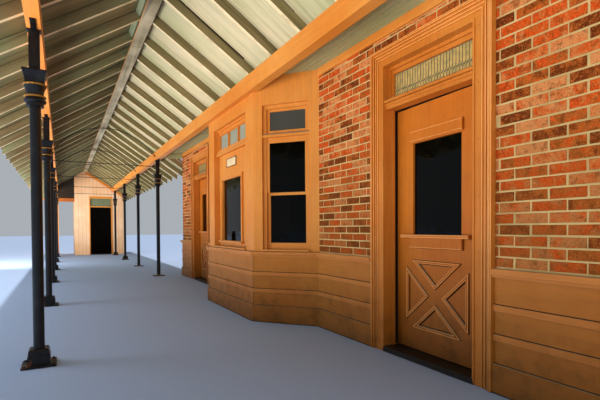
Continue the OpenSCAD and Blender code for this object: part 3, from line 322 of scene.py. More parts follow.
def brick_material():
    """Fired clay: one tone a brick from dark brown through orange-red to buff, with scorched
    patches, dark pits and pale sandy grains. The lowest courses are browned by splashed dirt."""
    material = new_material("fired_brick")
    tree = material.node_tree
    tone = put(tree, "ShaderNodeAttribute", {"attribute_name": "tone"}).outputs["Fac"]
    where = own_pattern(tree, tone)
    patch = noise(tree, where, 13, 5, 0.66, 0.5)
    shifted = sum_of(tree, "ADD", sum_of(tree, "MULTIPLY_ADD", tone, 1.1, -0.03),
                     sum_of(tree, "MULTIPLY_ADD", patch, 1.7, -0.85), clamp=True)
    clay = ramp(tree, shifted, [
        (0.00, linear(96, 34, 0)), (0.12, linear(126, 50, 4)), (0.26, linear(160, 80, 24)),
        (0.40, linear(190, 90, 26)), (0.52, linear(214, 66, 2)), (0.64, linear(204, 84, 22)),
        (0.80, linear(212, 118, 60)), (1.00, linear(214, 138, 80))])
    pits = noise(tree, where, 120, 5, 0.76)
    dark = spread(tree, pits, 0.50, 0.30, 0.0, 0.75)
    clay = mixed(tree, dark, clay, linear(80, 32, 0))
    dust = spread(tree, pits, 0.52, 0.66, 0.0, 0.65)
    clay = mixed(tree, dust, clay, linear(222, 142, 76))
    scorch = spread(tree, noise(tree, where, 22, 6, 0.7, 0.4), 0.52, 0.64, 0.0, 0.62)
    clay = mixed(tree, scorch, clay, linear(96, 48, 8))
    low_down = spread(tree, upward(tree, place_of(tree)), 0.8, 1.9, 0.75, 0.0)
    splashed = sum_of(tree, "MULTIPLY", low_down, spread(tree, patch, 0.3, 0.6, 0.3, 1.0))
    clay = mixed(tree, splashed, clay, linear(124, 70, 26))
    rough = sum_of(tree, "MULTIPLY_ADD", patch, 0.2, 0.68)
    shader_of(material, Base_Color=clay, Roughness=rough, Specular_IOR_Level=0.15,
              Normal=bump(tree, pits, 0.002))
    return material


def mortar_material():
    """Sand and lime mortar, greenish beige, darker where damp."""
    material = new_material("lime_mortar")
    tree = material.node_tree
    where = place_of(tree)
    grain = noise(tree, where, 420, 4, 0.7)
    cloud = noise(tree, where, 3.2, 4)
    tone = sum_of(tree, "MULTIPLY_ADD", grain, 0.5, sum_of(tree, "MULTIPLY", cloud, 0.5))
    lime = ramp(tree, tone, [
        (0.3, linear(152, 126, 78)), (0.5, linear(206, 174, 112)), (0.72, linear(228, 200, 140))])
    shader_of(material, Base_Color=lime, Roughness=0.92, Normal=bump(tree, grain, 0.0022))
    return material


mortar = mortar_material()
brick = brick_material()


def wear(names, material):
    """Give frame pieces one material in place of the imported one."""
    for name in names:
        nodes[name].data.materials.clear()
        nodes[name].data.materials.append(material)


FRONT_WALLS = ["front_wall_near", "near_door_head_wall", "front_wall_near_pier",
               "front_wall_far_pier", "far_door_head_wall", "front_wall_far"]
wear(FRONT_WALLS + ["near_end_wall", "far_end_wall", "back_wall"], mortar)


def lay_bricks(name, field, seed, placed, turned=False):
    """The bricks of a wall as one piece: placed carries (s, z, depth) over to x, y and z."""
    points, faces, tone = brick_mesh(field, seed)
    made = piece(name, placed(*points.T), faces[:, ::-1] if turned else faces, brick, "brick")
    mark(made, "tone", tone)


DOORS = ("near_door", "far_door")
casing = {door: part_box(door + "_frame") for door in DOORS}
wall_low, wall_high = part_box("front_wall_near")[0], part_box("front_wall_far")[1]
wall_x = wall_low.x
front_field = bond(wall_high.y - wall_low.y, FRIEZE_FOOT, DADO_TOP - COURSE, 11)
front_parts = []
for low, high in casing.values():
    front_parts.append(cut_to(front_field, low.y - wall_low.y + JOINT, high.y - wall_low.y - JOINT,
                              high.z + JOINT, FRIEZE_FOOT - JOINT / 2))
front_stretches = [(wall_low.y, casing["near_door"][0].y),
                   (casing["near_door"][1].y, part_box("front_wall_near_pier")[1].y),
                   (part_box("front_wall_far_pier")[0].y, casing["far_door"][0].y),
                   (casing["far_door"][1].y, wall_high.y)]
for start, end in front_stretches:
    front_parts.append(cut_to(front_field, start - wall_low.y, end - wall_low.y,
                              DADO_TOP + OVER_DADO, FRIEZE_FOOT))
lay_bricks("front_bricks", np.concatenate(front_parts), 12,
           lambda s, z, depth: rows_of(wall_x - depth, wall_low.y + s, z), turned=True)


def gable_cut(bricks, along, eave_z, slope):
    """Bricks over the eaves cut back to the two slopes of a gable as wide as the wall."""
    over = np.maximum(bricks[:, 3] - eave_z, 0) / slope
    cut = bricks.copy()
    cut[:, 0] = np.maximum(cut[:, 0], over)
    cut[:, 1] = np.minimum(cut[:, 1], along - over)
    return cut[cut[:, 1] - cut[:, 0] > NARROWEST_CUT]


def window_field(field, along, top, windows):
    """Bricks of a wall round its windows: the full width below and above them, and between them.
    Over each window stands a course of soldiers, bricks on end, a course's height from one to the
    next."""
    foot, head = windows[0][2], windows[0][3]
    arch = head + BRICK_PITCH
    parts = [cut_to(field, 0, along, DADO_TOP + OVER_DADO, foot), cut_to(field, 0, along, arch, top)]
    starts = [0.0] + [w[1] for w in windows]
    ends = [w[0] for w in windows] + [along]
    parts += [cut_to(field, s, e, foot, arch - JOINT) for s, e in zip(starts, ends)]
    for left, right, _, _ in windows:
        soldiers = np.linspace(left, right + JOINT, int(round((right - left) / COURSE)) + 1)
        parts.append(rows_of(soldiers[:-1], soldiers[1:] - JOINT, head + JOINT, head + BRICK_PITCH - JOINT))
    return np.concatenate(parts)


rear_windows_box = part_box("rear_windows")
back_low, back_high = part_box("back_wall")
back_l = back_high.y - back_low.y
WINDOW_W = 0.9
SILL_Z = rear_windows_box[0].z
HEAD_Z = rear_windows_box[1].z
EAVE_OVER_WALL = 0.04
back_middles = (np.arange(3) + 0.5) * back_l / 3
back_windows = [(m - WINDOW_W / 2, m + WINDOW_W / 2, SILL_Z, HEAD_Z) for m in back_middles]
back_field = window_field(bond(back_l, back_high.z, DADO_TOP - COURSE, 21), back_l, back_high.z, back_windows)
lay_bricks("back_bricks", back_field, 22,
           lambda s, z, depth: rows_of(back_high.x + depth, back_low.y + s, z))

for name, seed, way in (("near_end", 31, -1), ("far_end", 41, 1)):
    low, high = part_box(name + "_wall")
    end_l = high.x - low.x
    eave = back_high.z + EAVE_OVER_WALL
    end_window = [(end_l / 2 - WINDOW_W / 2, end_l / 2 + WINDOW_W / 2, SILL_Z, HEAD_Z)]
    field = window_field(bond(end_l, high.z, DADO_TOP - COURSE, seed), end_l, high.z, end_window)
    field = gable_cut(field, end_l, eave, (high.z - eave) / (end_l / 2))
    face_y = low.y if way < 0 else high.y
    lay_bricks(name + "_bricks", field, seed + 1,
               lambda s, z, depth: rows_of(low.x + s, face_y + way * depth, z), turned=way > 0)

# Painted timber
# Sawn softwood boards under oil paint: orange on trim and beams, browner on the dado, sage under
# the roof. The grain shows through, the tone drifts with the sun, and dirt gathers low down; a
# smooth darkening towards the floor is painted shade.


def new_group(name, inputs, outputs):
    """A shader node group with named sockets; inputs and outputs are lists of name and kind."""
    tree = bpy.data.node_groups.new(name, "ShaderNodeTree")
    kinds = {"value": "NodeSocketFloat", "colour": "NodeSocketColor", "vector": "NodeSocketVector"}
    for title, kind in inputs:
        tree.interface.new_socket(title, in_out="INPUT", socket_type=kinds[kind])
    for title, kind in outputs:
        tree.interface.new_socket(title, in_out="OUTPUT", socket_type=kinds[kind])
    return tree, tree.nodes.new("NodeGroupInput"), tree.nodes.new("NodeGroupOutput")


def paint_group():
    """Oil paint on wood: along the grain runs a fine streak noise; broad clouds fade the colour
    towards Faded; Streaks draws weathered bands along the grain; smudges of dirt low down mix in the
    dirt colour, and a smooth darkening down to the floor mixes it in as painted shade; Flaking bares
    grey wood; dust lies pale on faces that look up, together with painted sky light."""
    tree, given, result = new_group(
        "oil_paint_on_wood",
        [("Grain", "vector"), ("Place", "vector"), ("Colour", "colour"), ("Faded", "colour"),
         ("Dirt_and_shade", "colour"), ("Soiling_and_shade", "value"), ("Flaking", "value"), ("Streaks", "value"),
         ("Dust_and_sky_light", "value")],
        [("Colour", "colour"), ("Roughness", "value"), ("Height", "value")])
    grain = noise(tree, given.outputs["Grain"], 1.0, 5, 0.62, 0.6)
    cloud = noise(tree, given.outputs["Place"], 1.1, 3)
    smudge = noise(tree, given.outputs["Place"], 7.0, 7, 0.62)
    colour = mixed(tree, spread(tree, cloud, 0.38, 0.64), given.outputs["Colour"], given.outputs["Faded"])
    streak = spread(tree, grain, 0.42, 0.7, 0.0, 0.16)
    colour = mixed(tree, streak, colour, given.outputs["Dirt_and_shade"], "MULTIPLY")
    for part, low, high, tint in ((0.15, 0.46, 0.66, "Faded"), (0.4, 0.5, 0.74, "Dirt_and_shade")):
        long_way = vector_step(tree, "SCALE", given.outputs["Grain"], part)
        band = spread(tree, noise(tree, long_way, 1.0, 5, 0.6, 0.3), low, high)
        band = sum_of(tree, "MULTIPLY", band, given.outputs["Streaks"])
        colour = mixed(tree, band, colour, given.outputs[tint])
    height = upward(tree, given.outputs["Place"])
    # Painted shade: a smooth darkening towards the floor, mixed in by the soiling share, for the shade that
    # falls low on walls and doors.
    shade = sum_of(tree, "MULTIPLY", spread(tree, height, 0.0, 1.2, 0.9, 0.0), given.outputs["Soiling_and_shade"])
    colour = mixed(tree, shade, colour, given.outputs["Dirt_and_shade"])
    low_down = spread(tree, height, 0.02, 0.55, 1.0, 0.12)
    soil = sum_of(tree, "MULTIPLY", spread(tree, smudge, 0.47, 0.72), low_down)
    soil = sum_of(tree, "MULTIPLY", soil, given.outputs["Soiling_and_shade"], clamp=True)
    colour = mixed(tree, soil, colour, given.outputs["Dirt_and_shade"])
    worn = sum_of(tree, "ADD", sum_of(tree, "MULTIPLY", grain, 0.35), sum_of(tree, "MULTIPLY", smudge, 0.65))
    edge = sum_of(tree, "SUBTRACT", 0.78, sum_of(tree, "MULTIPLY", given.outputs["Flaking"], 0.36))
    bare = spread(tree, sum_of(tree, "SUBTRACT", worn, edge), 0.0, 0.03)
    colour = mixed(tree, bare, colour, linear(150, 138, 120))
    # Painted sky light with dust: faces that look up turn pale.
    facing = upward(tree, put(tree, "ShaderNodeTexCoord").outputs["Normal"])
    dust_and_sky_light = spread(tree, facing, 0.35, 0.8, 0.0, given.outputs["Dust_and_sky_light"])
    colour = mixed(tree, dust_and_sky_light, colour, linear(184, 168, 138))
    rough = sum_of(tree, "MULTIPLY_ADD", smudge, 0.25, 0.38)
    rough = sum_of(tree, "MULTIPLY_ADD", bare, 0.3, rough, clamp=True)
    tree.links.new(colour, result.inputs["Colour"])
    tree.links.new(rough, result.inputs["Roughness"])
    tree.links.new(sum_of(tree, "MULTIPLY_ADD", bare, -0.6, grain), result.inputs["Height"])
    return tree


oil_paint = paint_group()
ALONG_X = (1.6, 42, 42)
ALONG_Y = (42, 1.6, 42)
UPRIGHT = (42, 42, 1.6)


def painted(name, colour, faded, dirt, grain, soiling_and_shade=0.5, flaking=0.0, tilt=0.0, streaks=0.0, under=None,
            dust=0.75):
    """Painted wood whose grain runs one way; tilt turns the grain up a roof slope. Soiling, flaking,
    streaks and dust are the shares of each that the paint group mixes in; soiling also sets a painted
    shade that darkens the paint towards the floor, and dust also paints sky light on faces that look
    up. Faces that look down take the colour under, where one is given: a painted highlight, as if lit
    from the ground below."""
    material = new_material(name)
    tree = material.node_tree
    where = place_of(tree)
    level = put(tree, "ShaderNodeMapping", inputs={"Vector": where, "Rotation": (0, tilt, 0)}).outputs[0]
    paint = put(tree, "ShaderNodeGroup", {"node_tree": oil_paint}, {
        "Grain": vector_step(tree, "MULTIPLY", level, grain), "Place": where, "Colour": linear(*colour),
        "Faded": linear(*faded), "Dirt_and_shade": linear(*dirt), "Soiling_and_shade": soiling_and_shade, "Flaking": flaking,
        "Streaks": streaks, "Dust_and_sky_light": dust})
    shown = paint.outputs["Colour"]
    # Painted highlight: faces that look down take the paler colour under, in patches, as if lit from below.
    if under:
        down = spread(tree, upward(tree, put(tree, "ShaderNodeTexCoord").outputs["Normal"]),
                      -0.72, -0.5, 1.0, 0.0)
        kept = spread(tree, noise(tree, where, 6, 6, 0.6), 0.36, 0.5, 0.5, 1.0)
        shown = mixed(tree, sum_of(tree, "MULTIPLY", down, kept), shown, linear(*under))
    shader_of(material, Base_Color=shown, Roughness=paint.outputs["Roughness"], Specular_IOR_Level=0.35,
              Normal=bump(tree, paint.outputs["Height"], 0.0007))
    return material


ORANGE, ORANGE_FADED, ORANGE_DIRT_AND_SHADE = (218, 130, 46), (226, 148, 66), (98, 58, 18)
trim_along = painted("orange_trim_along", ORANGE, ORANGE_FADED, (150, 84, 40), ALONG_Y,
                     soiling_and_shade=0.4, flaking=0.25)
trim_upright = painted("orange_trim_upright", ORANGE, ORANGE_FADED, ORANGE_DIRT_AND_SHADE, UPRIGHT, soiling_and_shade=0.55)
casing_paint = painted("casing_orange", (202, 116, 36), (216, 132, 50), (98, 56, 10), UPRIGHT, soiling_and_shade=0.7)
dado_paint = painted("dado_orange", (206, 120, 34), (214, 134, 48), (84, 48, 2), ALONG_Y, soiling_and_shade=0.95)
door_paint = painted("door_orange", (204, 110, 22), (210, 120, 32), (70, 38, 0), UPRIGHT, soiling_and_shade=1.0)
sage_paint = painted("sage_soffit", (170, 174, 122), (184, 188, 140), (92, 92, 62), ALONG_Y)
ROOF_TILT = np.radians(33.7)
deck_right = painted("pale_sage_boards", (182, 182, 136), (216, 200, 162), (124, 116, 76), ALONG_X,
                     tilt=-ROOF_TILT, streaks=0.5)
# The track side's deck is a darker copy of the sage boards: painted shade on the slope that faces away from
# the sunlit ground.
deck_left = painted("dull_sage_boards_in_painted_shade", (126, 132, 94), (130, 122, 86), (40, 32, 18), ALONG_X,
                    soiling_and_shade=0.9, flaking=0.1, tilt=ROOF_TILT, streaks=0.8)
# The rafters' undersides are painted paler than their sides: a painted highlight. On the building's side the
# rafters' sides are a darker copy of the deck's cream: painted shade.
rafter_right = painted("cream_rafters", (132, 120, 76), (146, 130, 88), (72, 54, 26), ALONG_X,
                       soiling_and_shade=0.9, tilt=-ROOF_TILT, streaks=0.7, under=(228, 208, 164))
rafter_left = painted("dull_rafters", (144, 148, 106), (134, 114, 78), (62, 44, 24), ALONG_X,
                      soiling_and_shade=0.9, flaking=0.1, tilt=ROOF_TILT, streaks=0.8, under=(232, 218, 174))
grey_paint = painted("weathered_grey", (122, 114, 86), (206, 196, 164), (34, 26, 14), ALONG_Y,
                     soiling_and_shade=0.9, flaking=0.3, streaks=1.0)
bare_wood = painted("bare_wood", (104, 76, 46), (120, 92, 60), (52, 34, 18), ALONG_Y)

wear(["front_frieze", "track_side_beam", "building_side_beam", "barge_boards"], trim_along)
wear(["bay_posts", "bay_head", "bay_front_window", "bay_side_windows", "rear_windows", "store_doorway",
      "store_posts"], trim_upright)
wear(["near_door_frame", "far_door_frame"], casing_paint)
wear(["front_dado", "bay_dado", "rear_dado", "bay_base", "store_cross_beam"], dado_paint)
wear(["near_door", "far_door"], door_paint)
wear(["platform_soffit", "soffit_end_board"], sage_paint)
wear(["building_side_deck", "room_ceiling", "main_deck", "main_ridge_board"], deck_right)
wear(["track_side_deck"], deck_left)
wear(["building_side_rafters", "main_rafters"], rafter_right)
wear(["track_side_rafters"], rafter_left)
wear(["cover_ridge_board"], grey_paint)
wear(["station_floor", "wall_plates", "store_floor"], bare_wood)
store_paint = painted("store_peach", (236, 184, 136), (242, 204, 164), (196, 150, 112), UPRIGHT)
wear(["store_front_wall", "store_walls"], store_paint)

# Thresholds and the inside of the store room
# The sills that the doors close over take dark bare wood: painted shade for the shadow in each
# doorway. So do the store's inside faces and its floor: painted shade for the unlit room.
SILL_TOP = 0.062
SILL_OUT = 0.05
JAMB_IN = 0.155
STORE_SLACK = 0.004
doorway_y = {door: (casing[door][0].y + casing[door][1].y) / 2 for door in DOORS}
dark_wood_and_shade = painted("dark_bare_wood_and_painted_shade", (46, 36, 26), (58, 46, 32), (20, 15, 10), ALONG_Y,
                    soiling_and_shade=0.9, dust=0.0)


def repaint(name, material, chosen):
    """Give the faces of a frame piece that pass a test on their middles another material."""
    mesh = nodes[name].data
    mesh.materials.append(material)
    middles = np.array([nodes[name].matrix_world @ face.center for face in mesh.polygons])
    mesh.polygons.foreach_set("material_index", chosen(middles).astype(int))
    mesh.update()


def on_sill(middles, door):
    """Which middles of faces lie low down between the jambs of a door."""
    half_w = (casing[door][1].y - casing[door][0].y) / 2 - JAMB_IN
    between = np.abs(middles[:, 1] - doorway_y[door]) < half_w
    return between & (middles[:, 2] < SILL_TOP) & (middles[:, 0] > wall_x - SILL_OUT)


for door in DOORS:
    repaint(door + "_frame", dark_wood_and_shade, lambda middles: on_sill(middles, door))

store_low, store_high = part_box("store_floor")


def inside_store(middles):
    """Which middles of faces lie over the store's floor, or on the edge of it."""
    deep = (middles[:, 1] > store_low.y - STORE_SLACK) & (middles[:, 1] < store_high.y + STORE_SLACK)
    wide = (middles[:, 0] > store_low.x - STORE_SLACK) & (middles[:, 0] < store_high.x + STORE_SLACK)
    return deep & wide


repaint("store_walls", dark_wood_and_shade, inside_store)
repaint("store_front_wall", dark_wood_and_shade, inside_store)
wear(["store_floor"], dark_wood_and_shade)

# Dado seams
# Painted shade, with dirt, fills the corners over and under each strip and ledge of the dado, and the
# mitres of the bay. Each seam is a dark thread, 3 to 6 mm wide, laid in the corner.
BAY_RUN = 0.61
BOARD_OUT = 0.018
LEDGES = (0.190, 0.383, 0.576)
STRIP_H = 0.043
CAP_TOP = 0.810
CAP_H = 0.036
CAP_OUT = 0.040
SKIRTING_OUT = 0.035
MITRE_TOP = 0.77
MITRE_HALF = 0.0015
SUNK = 0.002


def bars(starts, ends, side, out):
    """Straight bars of rectangular section: each point is start + u (end - start) + v side + t out,
    with u and t from 0 to 1 and v from -1 to 1. Returns points and outward quads."""
    rows = [np.atleast_2d(np.asarray(a, float)) for a in (starts, ends, side, out)]
    starts, ends, side, out = np.broadcast_arrays(*rows)
    corner = np.array([(u, v, t) for u in (0, 1) for v in (-1, 1) for t in (0, 1)], float)
    points = (starts[:, None] + corner[:, :1] * (ends - starts)[:, None]
              + corner[:, 1:2] * side[:, None] + corner[:, 2:] * out[:, None])
    quad = np.array([(0, 1, 3, 2), (4, 6, 7, 5), (0, 4, 5, 1), (2, 3, 7, 6), (0, 2, 6, 4), (1, 5, 7, 3)])
    quads = quad + 8 * np.arange(len(points))[:, None, None]
    turned = np.einsum("ij,ij->i", np.cross(ends - starts, side), out) < 0
    quads[turned] = quads[turned][:, :, ::-1]
    return points.reshape(-1, 3), quads.reshape(-1, 4)


def joined(parts):
    """Points and quads of several meshes as one."""
    firsts = np.cumsum([0] + [len(points) for points, _ in parts])
    return (np.concatenate([points for points, _ in parts]),
            np.concatenate([quads + first for (_, quads), first in zip(parts, firsts)]))


def speckle_group():
    """Fine speckle: noise from 0.35 to 0.62 runs from Dark to Pale, and is the height too."""
    tree, given, result = new_group(
        "fine_speckle", [("Scale", "value"), ("Pale", "colour"), ("Dark", "colour")],
        [("Colour", "colour"), ("Height", "value")])
    spot = noise(tree, place_of(tree), given.outputs["Scale"], 6, 0.65)
    colour = mixed(tree, spread(tree, spot, 0.35, 0.62), given.outputs["Dark"], given.outputs["Pale"])
    tree.links.new(colour, result.inputs["Colour"])
    tree.links.new(spot, result.inputs["Height"])
    return tree


fine_speckle = speckle_group()


def speckled(name, pale, dark, rough, scale, metal=0.0):
    """A plain finish with fine speckle between two tones."""
    material = new_material(name)
    tree = material.node_tree
    speckle = put(tree, "ShaderNodeGroup", {"node_tree": fine_speckle},
                  {"Scale": scale, "Pale": linear(*pale), "Dark": linear(*dark)})
    shader_of(material, Base_Color=speckle.outputs["Colour"], Roughness=rough, Metallic=metal,
              Normal=bump(tree, speckle.outputs["Height"], 0.0006))
    return material


painted_shade_and_dirt = speckled("painted_shade_and_dirt", (40, 30, 18), (18, 13, 8), 0.95, 60)
bay_low, bay_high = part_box("bay_base")
bay_proj = wall_x - bay_low.x
bay_side_l = np.hypot(BAY_RUN, bay_proj)


def bay_line(out):
    """Plan of a line that lies out in front of the bay's three faces, from wall to wall."""
    x = np.array([wall_x - out, bay_low.x - out])
    from_end = (BAY_RUN * (wall_x - x) - out * bay_side_l) / bay_proj
    near_side = rows_of(x, bay_low.y + from_end)
    far_side = rows_of(x, bay_high.y - from_end)
    return np.concatenate([near_side, far_side[::-1]])


def dado_runs(out):
    """Starts and ends, in plan, of a line along the wall and round the bay between the doors."""
    bay = bay_line(out)
    wall_starts = [front_stretches[0][0], front_stretches[1][0], bay[3][1], front_stretches[3][0]]
    wall_ends = [front_stretches[0][1], bay[0][1], front_stretches[2][1], front_stretches[3][1]]
    return (np.concatenate([rows_of(wall_x - out, wall_starts), bay[:-1]]),
            np.concatenate([rows_of(wall_x - out, wall_ends), bay[1:]]))


def level_bars(starts, ends, away, z, half_h, thick):
    """Bars at one height between points in plan, laid thick outwards along away."""
    away = away / np.linalg.norm(away, axis=1, keepdims=True) * thick
    return bars(rows_of(*starts.T, z), rows_of(*ends.T, z), (0, 0, half_h), rows_of(*away.T, 0))


def thread(out, z, half_h, thick):
    """A thread along the dado's runs, in the corner at out and z."""
    starts, ends = dado_runs(out)
    along = ends - starts
    away = rows_of(-np.abs(along[:, 1]), along[:, 0] * np.sign(along[:, 1]))
    return level_bars(starts, ends, away, z, half_h, thick)


def rear_thread(out, z, half_h, thick):
    """The same round the ends and the back, where the way out lies to the right of each run."""
    back_x, near_y, far_y = back_high.x + out, wall_low.y - out, wall_high.y + out
    plan = np.array([(wall_x, near_y), (back_x, near_y), (back_x, far_y), (wall_x, far_y)])
    along = plan[1:] - plan[:-1]
    return level_bars(plan[:-1], plan[1:], rows_of(along[:, 1], -along[:, 0]), z, half_h, thick)


over_ledges = [(BOARD_OUT - SUNK, z + 0.0025, 0.0025, 0.005) for z in LEDGES]
under_strips = [(BOARD_OUT - SUNK, z - STRIP_H - 0.0015, 0.0015, 0.004) for z in LEDGES[1:]]
under_cap = (CAP_OUT - SUNK / 2, CAP_TOP - CAP_H - 0.001, 0.0012, 0.004)
at_floor = (SKIRTING_OUT - SUNK, 0.003, 0.003, 0.006)
seams = []
for laid in (thread, rear_thread):
    seams += [laid(*seam) for seam in over_ledges + under_strips + [under_cap, at_floor]]
mitres = rows_of(*bay_line(BOARD_OUT)[1:3].T, 0)
seams.append(bars(mitres, mitres + (0, 0, MITRE_TOP), (0, MITRE_HALF, 0), (-SUNK, 0, 0)))
piece("dado_seams", *joined(seams), painted_shade_and_dirt, "dado_paint")

# Strips of the dado
# The strips and the capping between the boards were planed, and took more coats of paint, so they
# are lighter than the sawn boards.
STRIP_BANDS = ((0.345, 0.378), (0.538, 0.572), (0.756, 0.806))
strip_paint = painted("dado_strips", (212, 126, 48), (220, 140, 64), (94, 54, 10), ALONG_Y, soiling_and_shade=0.8)


def on_strips(middles):
    """Which middles of faces lie in the height of a strip, or of the capping."""
    z = middles[:, 2]
    return np.any([(z > foot) & (z < top) for foot, top in STRIP_BANDS], axis=0)


for name in ("front_dado", "bay_dado", "rear_dado"):
    repaint(name, strip_paint, on_strips)

# Door mouldings
# Mitred mouldings frame the four sunk triangles of each leaf, and a lipped board and a shelf with
# an apron are planted round its glass. Dark threads in the corners are painted shade with dirt, and
# pale threads on the arrises are painted highlights.
DOOR_AJAR = np.radians(2)
DOOR_SET = 0.100
LEAF_T = 0.045
LEAF_HALF = 0.457
HINGE_BACK = 0.008
HINGE_ASIDE = 0.0035
HINGE = np.array([DOOR_SET + LEAF_T + HINGE_BACK, -LEAF_HALF - HINGE_ASIDE])
CROSS = np.array([0.332, 0.284])
CROSS_MID = 0.521
CROSS_ARM = 0.096
MOULDING_W = 0.024
MOULDING_OUT = 0.0105
LIP_OUT = 0.0195
SHELF_OUT = 0.0475
APRON_OUT = 0.0215
PLANTED_HALF = 0.28
SHELF_HALF = 0.365
GLASS_FOOT = 1.02
GLASS_HEAD = 1.785
LIP_FOOT = GLASS_HEAD + 0.016
LIP_TOP = GLASS_HEAD + 0.1
SHELF_FOOT = GLASS_FOOT - 0.028
APRON_FOOT = GLASS_FOOT - 0.112


def cross_triangles():
    """Corners (y, z) of the four triangles between the arms of the cross."""
    lean = np.arctan2(CROSS[1], CROSS[0])
    gap = CROSS_ARM / 2 / np.array([np.sin(lean), np.cos(lean)])
    flat = np.array([(gap[0] - CROSS[0], CROSS[1]), (CROSS[0] - gap[0], CROSS[1]), (0, gap[1])])
    upright = np.array([(CROSS[0], gap[1] - CROSS[1]), (CROSS[0], CROSS[1] - gap[1]), (gap[0], 0)])
    return np.stack([flat, -flat, upright, -upright]) + (0, CROSS_MID)


def moved_in(triangles, d):
    """Triangles with each side moved in by d: corners go towards the incentre by d over the
    inradius."""
    sides = np.linalg.norm(triangles[:, [1, 2, 0]] - triangles[:, [2, 0, 1]], axis=2)
    around = sides.sum(axis=1)
    centre = (sides[..., None] * triangles).sum(axis=1) / around[:, None]
    half = around / 2
    inradius = np.sqrt(np.prod(half[:, None] - sides, axis=1) / half)
    return centre[:, None] + (1 - d / inradius)[:, None, None] * (triangles - centre[:, None])


def closed(triangles):
    """Triangles as closed lines, each back to its first corner."""
    return list(np.concatenate([triangles, triangles[:, :1]], axis=1))


def across(half, z):
    """A level line across the leaf."""
    return np.array([(-half, z), (half, z)])


def round_board(half, level_z, far_z):
    """Three sides of a board: from level_z to far_z, across, and back to level_z."""
    return np.array([(-half, level_z), (-half, far_z), (half, far_z), (half, level_z)])


def leaf_threads(lines, depth, half_w, thick):
    """Threads along closed or open lines (y, z) on a leaf, depth out from its face."""
    starts = np.concatenate([line[:-1] for line in lines])
    ends = np.concatenate([line[1:] for line in lines])
    along = ends - starts
    aside = rows_of(0, -along[:, 1], along[:, 0])
    aside *= half_w / np.linalg.norm(along, axis=1, keepdims=True)
    x = DOOR_SET - depth
    return bars(rows_of(x, *starts.T), rows_of(x, *ends.T), aside, (-thick, 0, 0))


sunk_triangles = cross_triangles()
lip = round_board(PLANTED_HALF + SUNK, LIP_FOOT, LIP_TOP)
apron = round_board(PLANTED_HALF + SUNK, SHELF_FOOT, APRON_FOOT)
# Painted shade with dirt: dark threads in the corners.
leaf_shade_and_dirt = joined([
    leaf_threads(closed(moved_in(sunk_triangles, -0.0015)), -0.001, 0.0026, 0.002),
    leaf_threads(closed(moved_in(sunk_triangles, MOULDING_W + 0.0038)), -0.006, 0.0038, 0.002),
    leaf_threads([lip, apron, across(SHELF_HALF, SHELF_FOOT)], -0.001, 0.002, 0.002)])
# Painted highlights: pale threads on the arrises.
leaf_highlights = joined([
    leaf_threads(closed(moved_in(sunk_triangles, 0.0035)), MOULDING_OUT, 0.0028, 0.0013),
    leaf_threads(closed(moved_in(sunk_triangles, MOULDING_W - 0.0035)), MOULDING_OUT, 0.0022, 0.0013),
    leaf_threads([across(PLANTED_HALF, LIP_FOOT + 0.003), across(PLANTED_HALF, LIP_TOP - 0.006)],
                 LIP_OUT, 0.003, 0.0015),
    leaf_threads([across(SHELF_HALF, GLASS_FOOT - 0.005), across(SHELF_HALF, GLASS_FOOT - 0.021)],
                 SHELF_OUT, 0.004, 0.0015),
    leaf_threads([across(PLANTED_HALF, APRON_FOOT + 0.006)], APRON_OUT, 0.003, 0.0015)])
highlight_paint = painted("painted_highlight_orange", (232, 150, 76), (238, 164, 96), (120, 74, 20), ALONG_Y)


def hung(points, door, angle):
    """Leaf points, with x into the room and y along the wall from the doorway's middle, turned by
    an angle about the hinge and set in their doorway."""
    turn = np.array([(np.cos(angle), np.sin(angle)), (-np.sin(angle), np.cos(angle))])
    plan = (points[:, :2] - HINGE) @ turn.T + HINGE
    return rows_of(plan[:, 0] + wall_x, plan[:, 1] + doorway_y[door], points[:, 2])


for door, body, angle in (("near_door", "near_leaf", DOOR_AJAR), ("far_door", "far_leaf", 0.0)):
    for title, (points, faces), material in (("_seams", leaf_shade_and_dirt, painted_shade_and_dirt),
                                             ("_crests", leaf_highlights, highlight_paint)):
        piece(door + title, hung(points, door, angle), faces, material, "door_paint", body)

# Casing crests
# The casing of each door is a run of bands and beads whose arrises carry painted highlights. A thin
# pale strip lies on each arris, up one side, across the head and down the other. Each is given by how
# far it lies in from the casing's edge and out from the wall.
CASING_CRESTS = ((0.004, 0.046), (0.018, 0.046), (0.036, 0.034), (0.059, 0.028), (0.086, 0.028))
CREST_HALF = 0.0022
CREST_T = 0.0010
CREST_FOOT = 0.01
casing_highlight_paint = painted("painted_highlight_casing", (240, 164, 88), (246, 180, 110), (112, 66, 14), UPRIGHT,
                             soiling_and_shade=0.9)
for door in DOORS:
    low, high = casing[door]
    crest_bars = []
    for inset, proud in CASING_CRESTS:
        x, y0, y1, z = wall_x - proud, low.y + inset, high.y - inset, high.z - inset
        line = np.array([(x, y0, CREST_FOOT), (x, y0, z), (x, y1, z), (x, y1, CREST_FOOT)])
        aside = np.array([(0, CREST_HALF, 0), (0, 0, CREST_HALF), (0, CREST_HALF, 0)])
        crest_bars.append(bars(line[:-1], line[1:], aside, (-CREST_T, 0, 0)))
    piece(door + "_casing_crests", *joined(crest_bars), casing_highlight_paint, "orange_paint")

